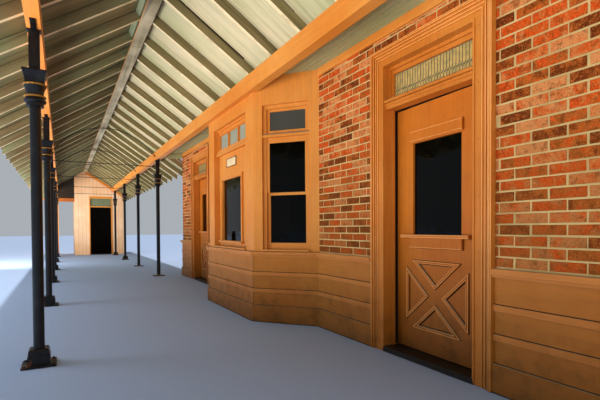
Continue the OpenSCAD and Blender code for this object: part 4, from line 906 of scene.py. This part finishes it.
# Felt strips
# Black felt strips, 1.5 mm thick, lie along the jambs and the head where each leaf closes: painted
# shade for the dark gap round the leaf.
FELT_T = 0.0015
FELT_HALF = 0.022
FELT_BACK = 0.120
FELT_FOOT = 0.05
FELT_GAP = 0.002
OPEN_HALF = 0.464
BAR_FOOT = 2.100
shade_felt = speckled("black_felt_painted_shade", (12, 11, 10), (5, 5, 4), 0.95, 200)
for door in DOORS:
    felt_x = wall_x + FELT_BACK
    strips = []
    for way in (-1, 1):
        jamb_y = doorway_y[door] + way * OPEN_HALF
        strips.append(bars((felt_x, jamb_y, FELT_FOOT), (felt_x, jamb_y, BAR_FOOT - FELT_GAP),
                           (FELT_HALF, 0, 0), (0, -way * FELT_T, 0)))
    head_half = OPEN_HALF - FELT_GAP
    strips.append(bars((felt_x, doorway_y[door] - head_half, BAR_FOOT),
                       (felt_x, doorway_y[door] + head_half, BAR_FOOT), (FELT_HALF, 0, 0), (0, 0, -FELT_T)))
    piece(door + "_felt", *joined(strips), shade_felt, "orange_paint")

# Roof boarding
# The deck is of wide sheets butted over the rafters, with open joints at some of them. Short blocks
# stand between the first rafters by the ridge plank, which is pieced with a square joint and has
# an orange strip along its lower edge. The open joints, the square joint and the gap along the
# plank are dark strips: painted shade in the gaps.
FINE_JOINT = 0.0025
WIDE_JOINT = 0.007
WIDEST_JOINT = 0.012
WIDE_SHARE = 0.3
WIDEST_AT = -6.87
LEFT_JOINT = 0.003
PAST_RAFTER = 0.16
DECK_JOINT_T = 0.002
DECK_END = 0.02
BEAM_CLEAR = 0.05
PLANK_JOINT_AT = -5.72
PLANK_JOINT_HALF = 0.002
PLANK_JOINT_T = 0.001
PLANK_GAP = 0.003
PLANK_GAP_H = 0.01
BLOCKS_END = -5.5
BLOCK_ASIDE = 0.03
BLOCK_HALF = 0.022
BLOCK_H = 0.07
STRIP_HALF = 0.005
STRIP_T = 0.004


def parts_of(name):
    """The separate solids of a frame piece as low and high corners, in order along the platform.
    Points that share a face get the lowest number among them until nothing changes."""
    item = nodes[name]
    points = np.array([item.matrix_world @ v.co for v in item.data.vertices])
    kept, number = np.unique(np.round(points, 5), axis=0, return_inverse=True)
    number = number.reshape(-1)
    faces = np.array([number[list(face.vertices)] for face in item.data.polygons])
    label = np.arange(len(kept))
    while True:
        lowest = label.copy()
        np.minimum.at(lowest, faces, label[faces].min(axis=1, keepdims=True))
        lowest = lowest[lowest]
        if np.array_equal(lowest, label):
            break
        label = lowest
    found = np.array([(kept[label == k].min(axis=0), kept[label == k].max(axis=0)) for k in np.unique(label)])
    return found[np.argsort(found[:, 0, 1])]


SLOPE = np.tan(ROOF_TILT)
COS, SIN = np.cos(ROOF_TILT), np.sin(ROOF_TILT)
plank_low, plank_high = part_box("cover_ridge_board")
right_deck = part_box("building_side_deck")
left_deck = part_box("track_side_deck")
beam_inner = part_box("building_side_beam")[0].x
soffit_low, soffit_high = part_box("platform_soffit")


def right_under(x):
    """Height of the underside of the deck on the building's side."""
    return right_deck[0].z + (right_deck[1].x - x) * SLOPE


def left_under(x):
    """Height of the underside of the deck on the track's side."""
    return left_deck[0].z + (x - left_deck[0].x) * SLOPE


right_rafters = parts_of("building_side_rafters")
left_rafters = parts_of("track_side_rafters")
rng = np.random.default_rng(7)
right_half = np.where(rng.random(len(right_rafters)) < WIDE_SHARE, WIDE_JOINT, FINE_JOINT)
right_half[np.abs(right_rafters[:, 0, 1] - WIDEST_AT).argmin()] = WIDEST_JOINT
right_y = right_rafters[:, 0, 1] - right_half
under_soffit = right_rafters[:, 0, 1] < soffit_high.y
foot_x = np.where(under_soffit, beam_inner - BEAM_CLEAR, right_deck[1].x - DECK_END)
right_joints = bars(rows_of(plank_high.x, right_y, right_under(plank_high.x)),
                    rows_of(foot_x, right_y, right_under(foot_x)),
                    rows_of(0, right_half, 0), (-DECK_JOINT_T * SIN, 0, -DECK_JOINT_T * COS))
left_y = np.sort(np.concatenate([left_rafters[:, 0, 1] - LEFT_JOINT,
                                 left_rafters[::3, 1, 1] + PAST_RAFTER]))
left_foot_x = left_deck[0].x + DECK_END
left_joints = bars(rows_of(plank_low.x, left_y, left_under(plank_low.x)),
                   rows_of(left_foot_x, left_y, left_under(left_foot_x)),
                   (0, LEFT_JOINT, 0), (DECK_JOINT_T * SIN, 0, -DECK_JOINT_T * COS))
plank_joint = bars((plank_low.x, PLANK_JOINT_AT, plank_low.z), (plank_high.x, PLANK_JOINT_AT, plank_low.z),
                   (0, PLANK_JOINT_HALF, 0), (0, 0, -PLANK_JOINT_T))
gap_x, gap_z = plank_high.x + PLANK_GAP, plank_low.z + PLANK_GAP
plank_gap = bars((gap_x, plank_low.y, gap_z), (gap_x, plank_high.y, gap_z),
                 (PLANK_GAP, 0, 0), (0, 0, PLANK_GAP_H))
piece("deck_joints", *joined([right_joints, left_joints, plank_joint, plank_gap]), painted_shade_and_dirt, "cream_paint")

block_x = plank_low.x - BLOCK_ASIDE
first_rafters = left_rafters[left_rafters[:, 0, 1] < BLOCKS_END]
sage_block = painted("sage_blocks", (150, 160, 124), (168, 174, 140), (84, 80, 52), ALONG_Y, soiling_and_shade=0.6)
piece("ridge_blocks", *bars(rows_of(block_x, first_rafters[:-1, 1, 1], left_under(block_x)),
                            rows_of(block_x, first_rafters[1:, 0, 1], left_under(block_x)),
                            (BLOCK_HALF * COS, 0, BLOCK_HALF * SIN), (BLOCK_H * SIN, 0, -BLOCK_H * COS)),
      sage_block, "cream_paint")
edge_x, edge_z = plank_low.x + STRIP_T / 2, plank_low.z + STRIP_T
piece("plank_edge", *bars((edge_x, plank_low.y, edge_z), (edge_x, plank_high.y, edge_z),
                          (0, 0, STRIP_HALF), (-STRIP_T, 0, 0)), trim_along, "grey_paint")

# Soffit boards
# Narrow boards run along the platform under the flat soffit, 62 mm from one to the next with an
# open joint between them, nailed up to the joists.
SOFFIT_PITCH = 0.062
SOFFIT_GAP = 0.009
SOFFIT_T = 0.008
SOFFIT_END = 0.03
board_x = np.arange(soffit_low.x + SOFFIT_PITCH / 2, soffit_high.x, SOFFIT_PITCH)
board_starts = rows_of(board_x, soffit_low.y, soffit_low.z)
board_ends = board_starts + (0, soffit_high.y - soffit_low.y - SOFFIT_END, 0)
piece("soffit_boards", *bars(board_starts, board_ends, ((SOFFIT_PITCH - SOFFIT_GAP) / 2, 0, 0),
                             (0, 0, -SOFFIT_T)), sage_paint, "olive_paint")
# The soffit behind the boards is painted dark: painted shade seen through the open joints.
wear(["platform_soffit"], painted_shade_and_dirt)

# Store walls
# The store is of upright boards, 140 mm wide, with fine joints on all its walls. A sage panel fills
# the frame over its doorway, the cross beam is browner, and a rake board follows the roof down.
STORE_PITCH = 0.14
STORE_JOINT_HALF = 0.0022
STORE_JOINT_T = 0.0012
STORE_FOOT = 0.01
UNDER_ROOF = 0.19
PANEL_DOWN = 0.245
PANEL_BACK = 0.0605
PANEL_HALF = 0.164
PANEL_IN = 0.041
PANEL_T = 0.002
BEAM_BACK_Z = 2.36
RAKE_DROP = (0.095 + 0.058) / COS
RAKE_HALF = 0.05
RAKE_T = 0.022
RAKE_PAST_RIDGE = 0.02
ridge_x = (plank_low.x + plank_high.x) / 2


def roof_under(x):
    """Height of the underside of the roof on either side of the ridge."""
    return np.where(x < ridge_x, left_under(x), right_under(x))


front_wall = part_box("store_front_wall")
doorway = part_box("store_doorway")
store_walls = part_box("store_walls")
store_seam = speckled("store_seam", (150, 104, 66), (120, 80, 50), 0.9, 30)
front_x = np.arange(front_wall[0].x + STORE_PITCH, front_wall[1].x, STORE_PITCH)
over_doorway = (front_x > doorway[0].x) & (front_x < doorway[1].x)
front_feet = rows_of(front_x, front_wall[0].y, np.where(over_doorway, doorway[1].z, STORE_FOOT))
front_tops = rows_of(front_x, front_wall[0].y, roof_under(front_x) - UNDER_ROOF)
piece("store_joints", *bars(front_feet, front_tops, (STORE_JOINT_HALF, 0, 0), (0, -STORE_JOINT_T, 0)),
      store_seam, "orange_paint")

side_y = np.arange(store_walls[0].y + STORE_PITCH, store_walls[1].y, STORE_PITCH)
wall_joints = []
for x, way, under in ((store_walls[0].x, -1, left_under), (store_walls[1].x, 1, right_under)):
    wall_joints.append(bars(rows_of(x, side_y, STORE_FOOT), rows_of(x, side_y, under(x) - UNDER_ROOF),
                            (0, STORE_JOINT_HALF, 0), (way * STORE_JOINT_T, 0, 0)))
end_x = np.arange(store_walls[0].x + STORE_PITCH, store_walls[1].x, STORE_PITCH)
wall_joints.append(bars(rows_of(end_x, store_walls[1].y, STORE_FOOT),
                        rows_of(end_x, store_walls[1].y, roof_under(end_x) - UNDER_ROOF),
                        (STORE_JOINT_HALF, 0, 0), (0, STORE_JOINT_T, 0)))
piece("store_wall_joints", *joined(wall_joints), store_seam, "orange_paint")

panel_z = doorway[1].z - PANEL_DOWN
panel_y = doorway[0].y + PANEL_BACK
panel_paint = painted("olive_panel", (104, 112, 78), (118, 124, 92), (60, 56, 36), UPRIGHT)
piece("store_panel", *bars((doorway[0].x + PANEL_IN, panel_y, panel_z),
                           (doorway[1].x - PANEL_IN, panel_y, panel_z),
                           (0, 0, PANEL_HALF), (0, -PANEL_T, 0)), panel_paint, "orange_paint")
wear(["store_cross_beam"], painted("brown_beam", (176, 92, 34), (186, 104, 44), (90, 50, 20), ALONG_X,
                                   soiling_and_shade=0.4))
repaint("store_cross_beam", dark_wood_and_shade, lambda middles: middles[:, 2] > BEAM_BACK_Z)

rake_x = ridge_x + RAKE_PAST_RIDGE
rake_top = (rake_x, front_wall[0].y, right_under(rake_x) - RAKE_DROP)
rake_foot = (front_wall[1].x, front_wall[0].y, right_under(front_wall[1].x) - RAKE_DROP)
piece("store_rake_board", *bars(rake_top, rake_foot, (RAKE_HALF * SIN, 0, RAKE_HALF * COS), (0, -RAKE_T, 0)),
      trim_along, "orange_paint")

# Ironwork
# The columns and rods are black-painted cast iron, rusty at the feet. The columns on the
# building's side are rustier than the others.


def iron_material(name, rusting):
    """Black paint over cast iron: a soft sheen, grey dust, and rust that spreads up from the floor."""
    material = new_material(name)
    tree = material.node_tree
    where = place_of(tree)
    cast = noise(tree, where, 90, 5, 0.6)
    patch = noise(tree, where, 11, 6, 0.65)
    low_down = spread(tree, upward(tree, where), 0.0, 0.16, 0.30, 0.0)
    rust = spread(tree, sum_of(tree, "ADD", patch, low_down), 0.84 - rusting, 0.92 - rusting)
    paint = ramp(tree, patch, [
        (0.3, linear(8, 9, 10)), (0.55, linear(15, 16, 18)), (0.75, linear(32, 33, 34))])
    rusty = ramp(tree, cast, [(0.35, linear(92, 44, 24)), (0.65, linear(156, 88, 52))])
    rough = sum_of(tree, "MULTIPLY_ADD", rust, 0.4, sum_of(tree, "MULTIPLY_ADD", cast, 0.2, 0.32))
    shader_of(material, Base_Color=mixed(tree, rust, paint, rusty), Roughness=rough, Specular_IOR_Level=0.4,
              Normal=bump(tree, cast, 0.0008))
    return material


black_iron = iron_material("black_iron", 0.0)
wear(["track_side_columns", "arched_rods", "tie_rods"], black_iron)
wear(["building_side_columns"], iron_material("rusty_iron", 0.08))

# Rings, seams and bolts of the columns
# Two gilt rings girdle each capital. A seam is left down the middle of the cast blocks, where the
# two halves of the mould met. Bolts hold the straps to the beams and the feet to the platform.
RINGS = ((2.127, 0.0702, 0.0085), (2.219, 0.0768, 0.0085))
ABACUS_Z = 2.228
ABACUS_EDGE = (2.317, 2.327)
BELL_Z = 2.138
FLARE = (0.066, 0.2133)
BELL = (0.061, 0.161)
ABACUS_OUT = 0.0845
PLINTH_SEAMS = ((0.0775, (0.013, 0.083)), (0.072, (0.096, 0.117)))
SEAM_HALF = 0.0016
SEAM_T = 0.0014
SEAM_BITE = 0.0006
PLATE_TOP = 0.012
PLATE_BOLT = 0.098
PLATE_HEAD = (0.011, 0.010)
STRAP_BOLTS = (-0.215, -0.13, 0.13, 0.215)
STRAP_HEAD = (0.012, 0.012)
STRAP_FACE = 0.046
FACE_HEAD = (0.010, 0.009)
BEAM_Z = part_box("track_side_columns")[1].z
STRAP_UNDER = BEAM_Z - 0.008
STRAP_FACE_Z = (2.36, BEAM_Z - 0.045)


def rings(middles, ring_z, major, minor, around=40, section=8):
    """Round rings: (R + r cos b) out along the angle a, and r sin b up, on a grid of a and b."""
    a = np.linspace(0, 2 * np.pi, around, endpoint=False)[:, None]
    b = np.linspace(0, 2 * np.pi, section, endpoint=False)[None, :]
    out = major + minor * np.cos(b)
    ring = rows_of(out * np.cos(a), out * np.sin(a), ring_z + minor * np.sin(b)).reshape(-1, 3)
    points = ring[None] + rows_of(*middles.T, 0)[:, None]
    i, j = np.meshgrid(np.arange(around), np.arange(section), indexing="ij")
    k, m = (i + 1) % around, (j + 1) % section
    quad = np.stack([i * section + j, k * section + j, k * section + m, i * section + m], -1)
    quads = quad.reshape(-1, 4) + len(ring) * np.arange(len(middles))[:, None, None]
    return points.reshape(-1, 3), quads.reshape(-1, 4)


track_columns = parts_of("track_side_columns")
all_columns = np.concatenate([track_columns, parts_of("building_side_columns")])
column_at = (all_columns[:, 0, :2] + all_columns[:, 1, :2]) / 2
plinth_at = column_at[:len(track_columns)]
gilding = speckled("worn_gilding", (196, 138, 52), (112, 76, 34), 0.42, 70, 0.55)
piece("gilt_rings", *joined([rings(column_at, *ring) for ring in RINGS]), gilding, "iron", smooth=True)


def seam_bars(middles, reach, heights):
    """A seam down both faces that look along the platform, through points reach out at heights."""
    reach, heights = np.broadcast_arrays(np.asarray(reach, float), np.asarray(heights, float))
    places = rows_of(*middles.T, 0)[:, None]
    seam_parts = []
    for way in (-1, 1):
        line = rows_of(0, way * reach, heights)
        starts = (places + line[:-1]).reshape(-1, 3)
        ends = (places + line[1:]).reshape(-1, 3)
        seam_parts.append(bars(starts, ends, (SEAM_HALF, 0, 0), (0, way * SEAM_T, 0)))
    return joined(seam_parts)


def hollow(neck, radius, rise):
    """Reach of a hollow curve that leaves its neck upright: neck + R - sqrt(R^2 - rise^2)."""
    return neck + radius - np.sqrt(radius ** 2 - rise ** 2)


flare_rise = np.linspace(0, 0.088, 7)
bell_rise = np.linspace(0.008, 0.072, 6)
seam_iron = speckled("seam_iron", (10, 10, 10), (4, 4, 4), 0.8, 80)
piece("casting_seams", *joined([
    seam_bars(column_at, hollow(*FLARE, flare_rise) - SEAM_BITE, ABACUS_Z + flare_rise),
    seam_bars(column_at, ABACUS_OUT, ABACUS_EDGE),
    seam_bars(column_at, hollow(*BELL, bell_rise) - SEAM_BITE, BELL_Z + bell_rise),
    *[seam_bars(plinth_at, reach, heights) for reach, heights in PLINTH_SEAMS]]), seam_iron, "iron")


def bolts(places, out, radius, height, sides=6):
    """Bolt heads: rings of points round each place, at three heights out from it, closed in a
    small ring at the top."""
    out = np.broadcast_to(np.asarray(out, float), places.shape)
    aside = np.cross(out, (0.31, 0.52, 0.79))
    aside /= np.linalg.norm(aside, axis=1, keepdims=True)
    turn = 2 * np.pi * np.arange(sides) / sides
    circle = np.cos(turn)[:, None] * aside[:, None] + np.sin(turn)[:, None] * np.cross(out, aside)[:, None]
    rows = [(1.0, -0.2), (1.0, 0.7), (0.8, 1.0), (0.02, 1.0)]
    points = np.stack([places[:, None] + radius * r * circle + height * h * out[:, None] for r, h in rows], 1)
    i, j = np.meshgrid(np.arange(len(rows) - 1), np.arange(sides), indexing="ij")
    k = (j + 1) % sides
    quad = np.stack([i * sides + j, i * sides + k, (i + 1) * sides + k, (i + 1) * sides + j], -1)
    quads = quad.reshape(-1, 4) + len(rows) * sides * np.arange(len(places))[:, None, None]
    return points.reshape(-1, 3), quads.reshape(-1, 4)


def at_columns(offsets):
    """Every offset (x, y, z) at every column."""
    return (rows_of(*column_at.T, 0)[:, None] + np.array(offsets)).reshape(-1, 3)


plate_bolts = [(x, y, PLATE_TOP) for x in (-PLATE_BOLT, PLATE_BOLT) for y in (-PLATE_BOLT, PLATE_BOLT)]
piece("column_bolts", *joined([
    bolts(at_columns(plate_bolts), (0, 0, 1), *PLATE_HEAD),
    bolts(at_columns([(0, y, STRAP_UNDER) for y in STRAP_BOLTS]), (0, 0, -1), *STRAP_HEAD),
    bolts(at_columns([(0, -STRAP_FACE, z) for z in STRAP_FACE_Z]), (0, -1, 0), *FACE_HEAD),
    bolts(at_columns([(0, STRAP_FACE, z) for z in STRAP_FACE_Z]), (0, 1, 0), *FACE_HEAD)]),
    black_iron, "iron")

# Nails
# Cut nails hold the dado boards, two at each stud, and the casings of the doors. Their heads are
# set flush and painted over, but rust shows on many.
STUD_PITCH = 0.61
FIRST_STUD = 0.2
BAY_CLEAR = 0.05
END_CLEAR = 0.02
NAIL_R = 0.0035
NAIL_PROUD = 0.0010
NAIL_Z = np.array([0.04, 0.15, 0.215, 0.318, 0.408, 0.511, 0.601, 0.730])
CASING_NAIL_Z = np.arange(0.15, 2.45, 0.38)
CASING_NAIL_IN = 0.115
CASING_FACE = 0.022
nail_iron = speckled("rusty_nails", (110, 66, 34), (60, 40, 24), 0.7, 500)
stud_y = np.arange(wall_low.y + FIRST_STUD, wall_high.y, STUD_PITCH)
nailed = [front_stretches[0], (front_stretches[1][0], bay_low.y - BAY_CLEAR),
          (bay_high.y + BAY_CLEAR, front_stretches[2][1]), front_stretches[3]]
stud_y = stud_y[[any(start + END_CLEAR < y < end - END_CLEAR for start, end in nailed) for y in stud_y]]
nail_x = wall_x - np.where(NAIL_Z < LEDGES[0], SKIRTING_OUT, BOARD_OUT)
nail_places = [rows_of(nail_x, stud_y[:, None], NAIL_Z).reshape(-1, 3)]
for door in DOORS:
    for y in (casing[door][0].y + CASING_NAIL_IN, casing[door][1].y - CASING_NAIL_IN):
        nail_places.append(rows_of(wall_x - CASING_FACE, y, CASING_NAIL_Z))
piece("nails", *bolts(np.concatenate(nail_places), (-1, 0, 0), NAIL_R, NAIL_PROUD), nail_iron, "dado_paint")

# Glass
# Old window glass, a little wavy, over dark rooms. Fly screens cover the top lights of the bay, and
# strips of lead hold the small panes over the doors.
PANE_W = 0.030
CAME_HALF = 0.0014
UPRIGHT_HALF = 0.0018
CROSSED_HALF = 0.0010
CAME_T = 0.002
RIM_IN = 0.003
MIDDLE_PART = 0.30
TOP_LIGHTS_Z = 2.1
SCREEN_OUT = 0.007
SCREEN_T = 0.001
PANE_T = 0.02


def glass_material(name, tint, rough):
    """Window glass, a little wavy, with a dark tint: painted shade for the unlit rooms behind it."""
    material = new_material(name)
    tree = material.node_tree
    wave = noise(tree, place_of(tree), 5, 2)
    shader_of(material, Base_Color=tint, Roughness=rough, IOR=1.22, Transmission_Weight=1.0,
              Normal=bump(tree, wave, 0.004))
    return material


window_glass = glass_material("window_glass", (0.05, 0.045, 0.025, 1), 0.02)
wear(["bay_glass", "near_door_glass", "far_door_glass", "rear_window_glass"], window_glass)
wear(["over_door_glass"], speckled("khaki_glass", (206, 172, 100), (158, 142, 84), 0.3, 22))


def cames(low, high):
    """Lead of one light: upright strips between panes, parted by a band in which they cross from
    one to the next, and three level strips. low and high are corners of the glass."""
    x = low[0]
    y = np.linspace(low[1], high[1], int(round((high[1] - low[1]) / PANE_W)) + 1)
    half_y = (y[:-1] + y[1:]) / 2
    middle_z = low[2] + MIDDLE_PART * (high[2] - low[2])
    band = PANE_W / 2
    proud = (-CAME_T, 0, 0)
    parts = [bars(rows_of(x, y, low[2]), rows_of(x, y, middle_z - band), (0, UPRIGHT_HALF, 0), proud),
             bars(rows_of(x, y, middle_z + band), rows_of(x, y, high[2]), (0, UPRIGHT_HALF, 0), proud)]
    for pane_y in (y[:-1], y[1:]):
        for way in (-1, 1):
            parts.append(bars(rows_of(x, pane_y, middle_z + way * band), rows_of(x, half_y, middle_z),
                              (0, CROSSED_HALF, CAME_HALF), proud))
    level_z = np.array([low[2] + RIM_IN, middle_z, high[2] - RIM_IN])
    parts.append(bars(rows_of(x, low[1], level_z), rows_of(x, high[1], level_z), (0, 0, CAME_HALF), proud))
    return parts


lead = speckled("dull_lead", (120, 112, 104), (84, 80, 78), 0.6, 90, 0.4)
came_parts = []
for low, high in parts_of("over_door_glass"):
    came_parts += cames(low, high)
piece("lead_cames", *joined(came_parts), lead, "leaded_glass")

screen_parts = {"front": [], "side": []}
for low, high in parts_of("bay_glass"):
    if low[2] > TOP_LIGHTS_Z:
        flat = high[0] - low[0] < PANE_T
        rising = low[1] > (bay_low.y + bay_high.y) / 2
        middle_z = (low[2] + high[2]) / 2
        near_foot = np.array([low[0] if flat or rising else high[0], low[1], middle_z])
        far_foot = np.array([high[0] if rising and not flat else low[0], high[1], middle_z])
        along = far_foot - near_foot
        away = np.array([-along[1], along[0], 0]) / np.linalg.norm(along)
        panel = bars(near_foot + away * SCREEN_OUT, far_foot + away * SCREEN_OUT,
                     (0, 0, (high[2] - low[2]) / 2), away * SCREEN_T)
        screen_parts["front" if flat else "side"].append(panel)
# The front screens are painted paler and the side screens darker: lit and shaded copies of one screen.
for face, pale, dark in (("front", (158, 158, 134), (128, 130, 112)), ("side", (76, 76, 66), (54, 54, 47))):
    mesh_screen = speckled(face + "_screen", pale, dark, 0.8, 300)
    piece(face + "_screens", *joined(screen_parts[face]), mesh_screen, "glass")

# Sign and gutter
# The bare plate is white enamelled iron, screwed to the panel inside a thin dark brown edging whose
# dark is painted shade for the shadow line round the plate. The gutter between the roofs is folded zinc.
EDGING_HALF = 0.004
EDGING_T = 0.008
SCREW_IN = 0.014
SCREW_HEAD = (0.004, 0.002)
wear(["sign_plate"], speckled("white_enamel", (240, 214, 172), (222, 190, 142), 0.35, 16))
sign_low, sign_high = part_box("sign_plate")
sign_y = np.array([sign_low.y, sign_high.y])
sign_z = np.array([sign_low.z, sign_high.z])
edging_x = sign_low.x + EDGING_HALF
rim_starts = np.concatenate([rows_of(edging_x, sign_y[0] - EDGING_HALF, sign_z),
                             rows_of(edging_x, sign_y, sign_z[0] - EDGING_HALF)])
rim_ends = np.concatenate([rows_of(edging_x, sign_y[1] + EDGING_HALF, sign_z),
                           rows_of(edging_x, sign_y, sign_z[1] + EDGING_HALF)])
rim_side = [(0, 0, EDGING_HALF)] * 2 + [(0, EDGING_HALF, 0)] * 2
piece("sign_edging", *bars(rim_starts, rim_ends, rim_side, (-EDGING_T, 0, 0)),
      speckled("brown_edging", (132, 72, 34), (90, 50, 24), 0.6, 40), "sign_white")
screw_y = sign_y + (SCREW_IN, -SCREW_IN)
screw_z = sign_z + (SCREW_IN, -SCREW_IN)
screw_places = np.array([(sign_low.x, y, z) for y in screw_y for z in screw_z])
piece("sign_screws", *bolts(screw_places, (-1, 0, 0), *SCREW_HEAD, sides=10), lead, "sign_white")

wear(["valley_gutter"], speckled("dull_zinc", (170, 174, 176), (122, 126, 128), 0.5, 9, 0.9))

# Roof shingles
# Split cedar shingles, weathered grey-brown, nailed in courses of 140 mm over the boards. The
# frame's sheet under them is their lower layers; each shingle here is a thin wedge on it.
EXPOSURE = 0.14
SHINGLE_BUTT = 0.011
SHINGLE_W = (0.09, 0.21)
SHINGLE_LAP = 1.35
SHINGLE_GAP = 0.002
SHINGLE_HEAD = 0.002
SHINGLE_SLIP = 0.006
SHINGLE_UNEVEN = 0.003
DRAWN_PER = 0.12
LEAST_END = 0.05
SHEET_T = 0.022
LIFT = SHEET_T / COS


def shingle_field(along, slope_l, seed):
    """Courses up a slope, of shingles 90 to 210 mm wide at random; a width for each 120 mm is more
    than fills a course. A shingle runs from its butt to a third of an exposure under the next
    course. Returns start, end, butt and head of each."""
    rng = np.random.default_rng(seed)
    rows = []
    for course in range(int(np.floor(slope_l / EXPOSURE))):
        ends = np.cumsum(rng.uniform(*SHINGLE_W, int(along / DRAWN_PER)))
        ends = np.append(ends[ends < along - LEAST_END], along)
        starts = np.append(0.0, ends[:-1])
        butt = course * EXPOSURE + rng.uniform(-SHINGLE_SLIP, SHINGLE_SLIP, len(ends))
        head = np.minimum(butt + EXPOSURE * SHINGLE_LAP, slope_l)
        rows.append(rows_of(starts + SHINGLE_GAP, ends - SHINGLE_GAP, np.maximum(butt, 0), head))
    return np.concatenate(rows)


def shingle_wedges(field, seed):
    """A wedge a shingle: thick at the butt, thin at the head. Eight points and five faces each, as
    (along, up the slope, over the roof)."""
    rng = np.random.default_rng(seed)
    start, end, butt, head = field.T
    thick = SHINGLE_BUTT + rng.uniform(-SHINGLE_UNEVEN, SHINGLE_UNEVEN, len(field))
    corners = [(start, butt, 0), (end, butt, 0), (end, head, 0), (start, head, 0),
               (start, butt, thick), (end, butt, thick),
               (end, head, SHINGLE_HEAD), (start, head, SHINGLE_HEAD)]
    points = np.stack([rows_of(*corner) for corner in corners], 1)
    quad = np.array([(4, 5, 6, 7), (0, 1, 5, 4), (1, 2, 6, 5), (2, 3, 7, 6), (3, 0, 4, 7)])
    quads = (quad + 8 * np.arange(len(field))[:, None, None]).reshape(-1, 4)
    return points.reshape(-1, 3), quads, np.repeat(rng.random(len(field)), 8)


def shingle_material():
    """Weathered cedar: one tone a shingle, streaked down the slope, with lichen here and there."""
    material = new_material("weathered_cedar")
    tree = material.node_tree
    where = place_of(tree)
    tone = put(tree, "ShaderNodeAttribute", {"attribute_name": "tone"}).outputs["Fac"]
    down_slope = put(tree, "ShaderNodeMapping", inputs={"Vector": where, "Scale": (6, 130, 6)}).outputs[0]
    fibre = noise(tree, down_slope, 1, 4)
    shade = sum_of(tree, "MULTIPLY_ADD", tone, 0.6, sum_of(tree, "MULTIPLY", fibre, 0.4))
    colour = ramp(tree, shade, [
        (0.1, linear(72, 64, 54)), (0.4, linear(112, 102, 88)), (0.7, linear(142, 130, 112)),
        (0.95, linear(160, 136, 104))])
    lichen = spread(tree, noise(tree, where, 4.5, 8, 0.7), 0.62, 0.7)
    colour = mixed(tree, sum_of(tree, "MULTIPLY", lichen, 0.5), colour, linear(140, 148, 112))
    shader_of(material, Base_Color=colour, Roughness=0.86, Normal=bump(tree, fibre, 0.0015))
    return material


cedar = shingle_material()
wear(["cover_shingles", "main_shingles"], cedar)


def shingle_slope(name, eave, ridge, y0, y1, seed):
    """Shingles on one slope, from a point (x, z) on its eave to one on its ridge."""
    eave, ridge = np.array(eave), np.array(ridge)
    slope_l = np.linalg.norm(ridge - eave)
    up = (ridge - eave) / slope_l
    out = np.array([-up[1], up[0]]) * (1 if up[0] > 0 else -1)
    points, faces, tone = shingle_wedges(shingle_field(y1 - y0, slope_l, seed), seed + 1)
    x = eave[0] + points[:, 1] * up[0] + points[:, 2] * out[0]
    z = eave[1] + points[:, 1] * up[1] + points[:, 2] * out[1]
    made = piece(name, rows_of(x, y0 + points[:, 0], z), faces if up[0] < 0 else faces[:, ::-1],
                 cedar, "shingles")
    mark(made, "tone", tone)


def ridge_of(eave, top_x):
    """Where the line up the roof from the eave meets the ridge."""
    return top_x, eave[1] + abs(top_x - eave[0]) * SLOPE


def eave_of(ridge, x):
    """Where the line down the roof from the ridge comes to x."""
    return x, ridge[1] - abs(ridge[0] - x) * SLOPE


cover_low, cover_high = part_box("cover_shingles")
main_low, main_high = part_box("main_shingles")
main_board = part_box("main_ridge_board")
track_eave = (cover_low.x, cover_low.z + LIFT)
cover_ridge = ridge_of(track_eave, ridge_x)
walk_eave = eave_of(cover_ridge, cover_high.x)
gutter_eave = eave_of(cover_ridge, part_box("valley_gutter")[0].x)
back_eave = (main_high.x, main_low.z + LIFT)
main_ridge = ridge_of(back_eave, (main_board[0].x + main_board[1].x) / 2)
front_eave = eave_of(main_ridge, main_low.x)
shingle_slope("track_side_shingles", track_eave, cover_ridge, cover_low.y, cover_high.y, 51)
shingle_slope("gutter_side_shingles", gutter_eave, cover_ridge, cover_low.y, soffit_high.y, 53)
shingle_slope("walk_side_shingles", walk_eave, cover_ridge, soffit_high.y, cover_high.y, 55)
shingle_slope("front_roof_shingles", front_eave, main_ridge, main_low.y, main_high.y, 57)
shingle_slope("back_roof_shingles", back_eave, main_ridge, main_low.y, main_high.y, 59)

# Ridge caps
# Shingles cut to one width are laid along both sides of each ridge, each over the end of the last,
# and nailed through. They are thicker at the end that shows.
CAP_PITCH = 0.13
CAP_L = CAP_PITCH * 1.3
CAP_W = 0.13
CAP_T = 0.010
CAP_OVER = 0.014
CAP_SINK = 0.009
END_SLACK = 0.001
for name, ridge, y0, y1 in (("cover", cover_ridge, cover_low.y, cover_high.y),
                            ("main", main_ridge, main_low.y, main_high.y)):
    cap_y = np.arange(y0, y1 - CAP_L + END_SLACK, CAP_PITCH)
    halves = []
    for way in (-1, 1):
        down = np.array([way * COS, 0, -SIN])
        over = np.array([way * SIN, 0, COS])
        near_end = rows_of(ridge[0], cap_y, ridge[1]) + over * CAP_OVER + down * CAP_W / 2
        far_end = near_end + (0, CAP_L, 0) - over * CAP_SINK
        halves.append(bars(near_end, far_end, down * CAP_W / 2, over * CAP_T))
    points, faces = joined(halves)
    caps = piece(name + "_ridge_caps", points, faces, cedar, "shingles")
    mark(caps, "tone", np.repeat(np.random.default_rng(61).random(len(points) // 8), 8))
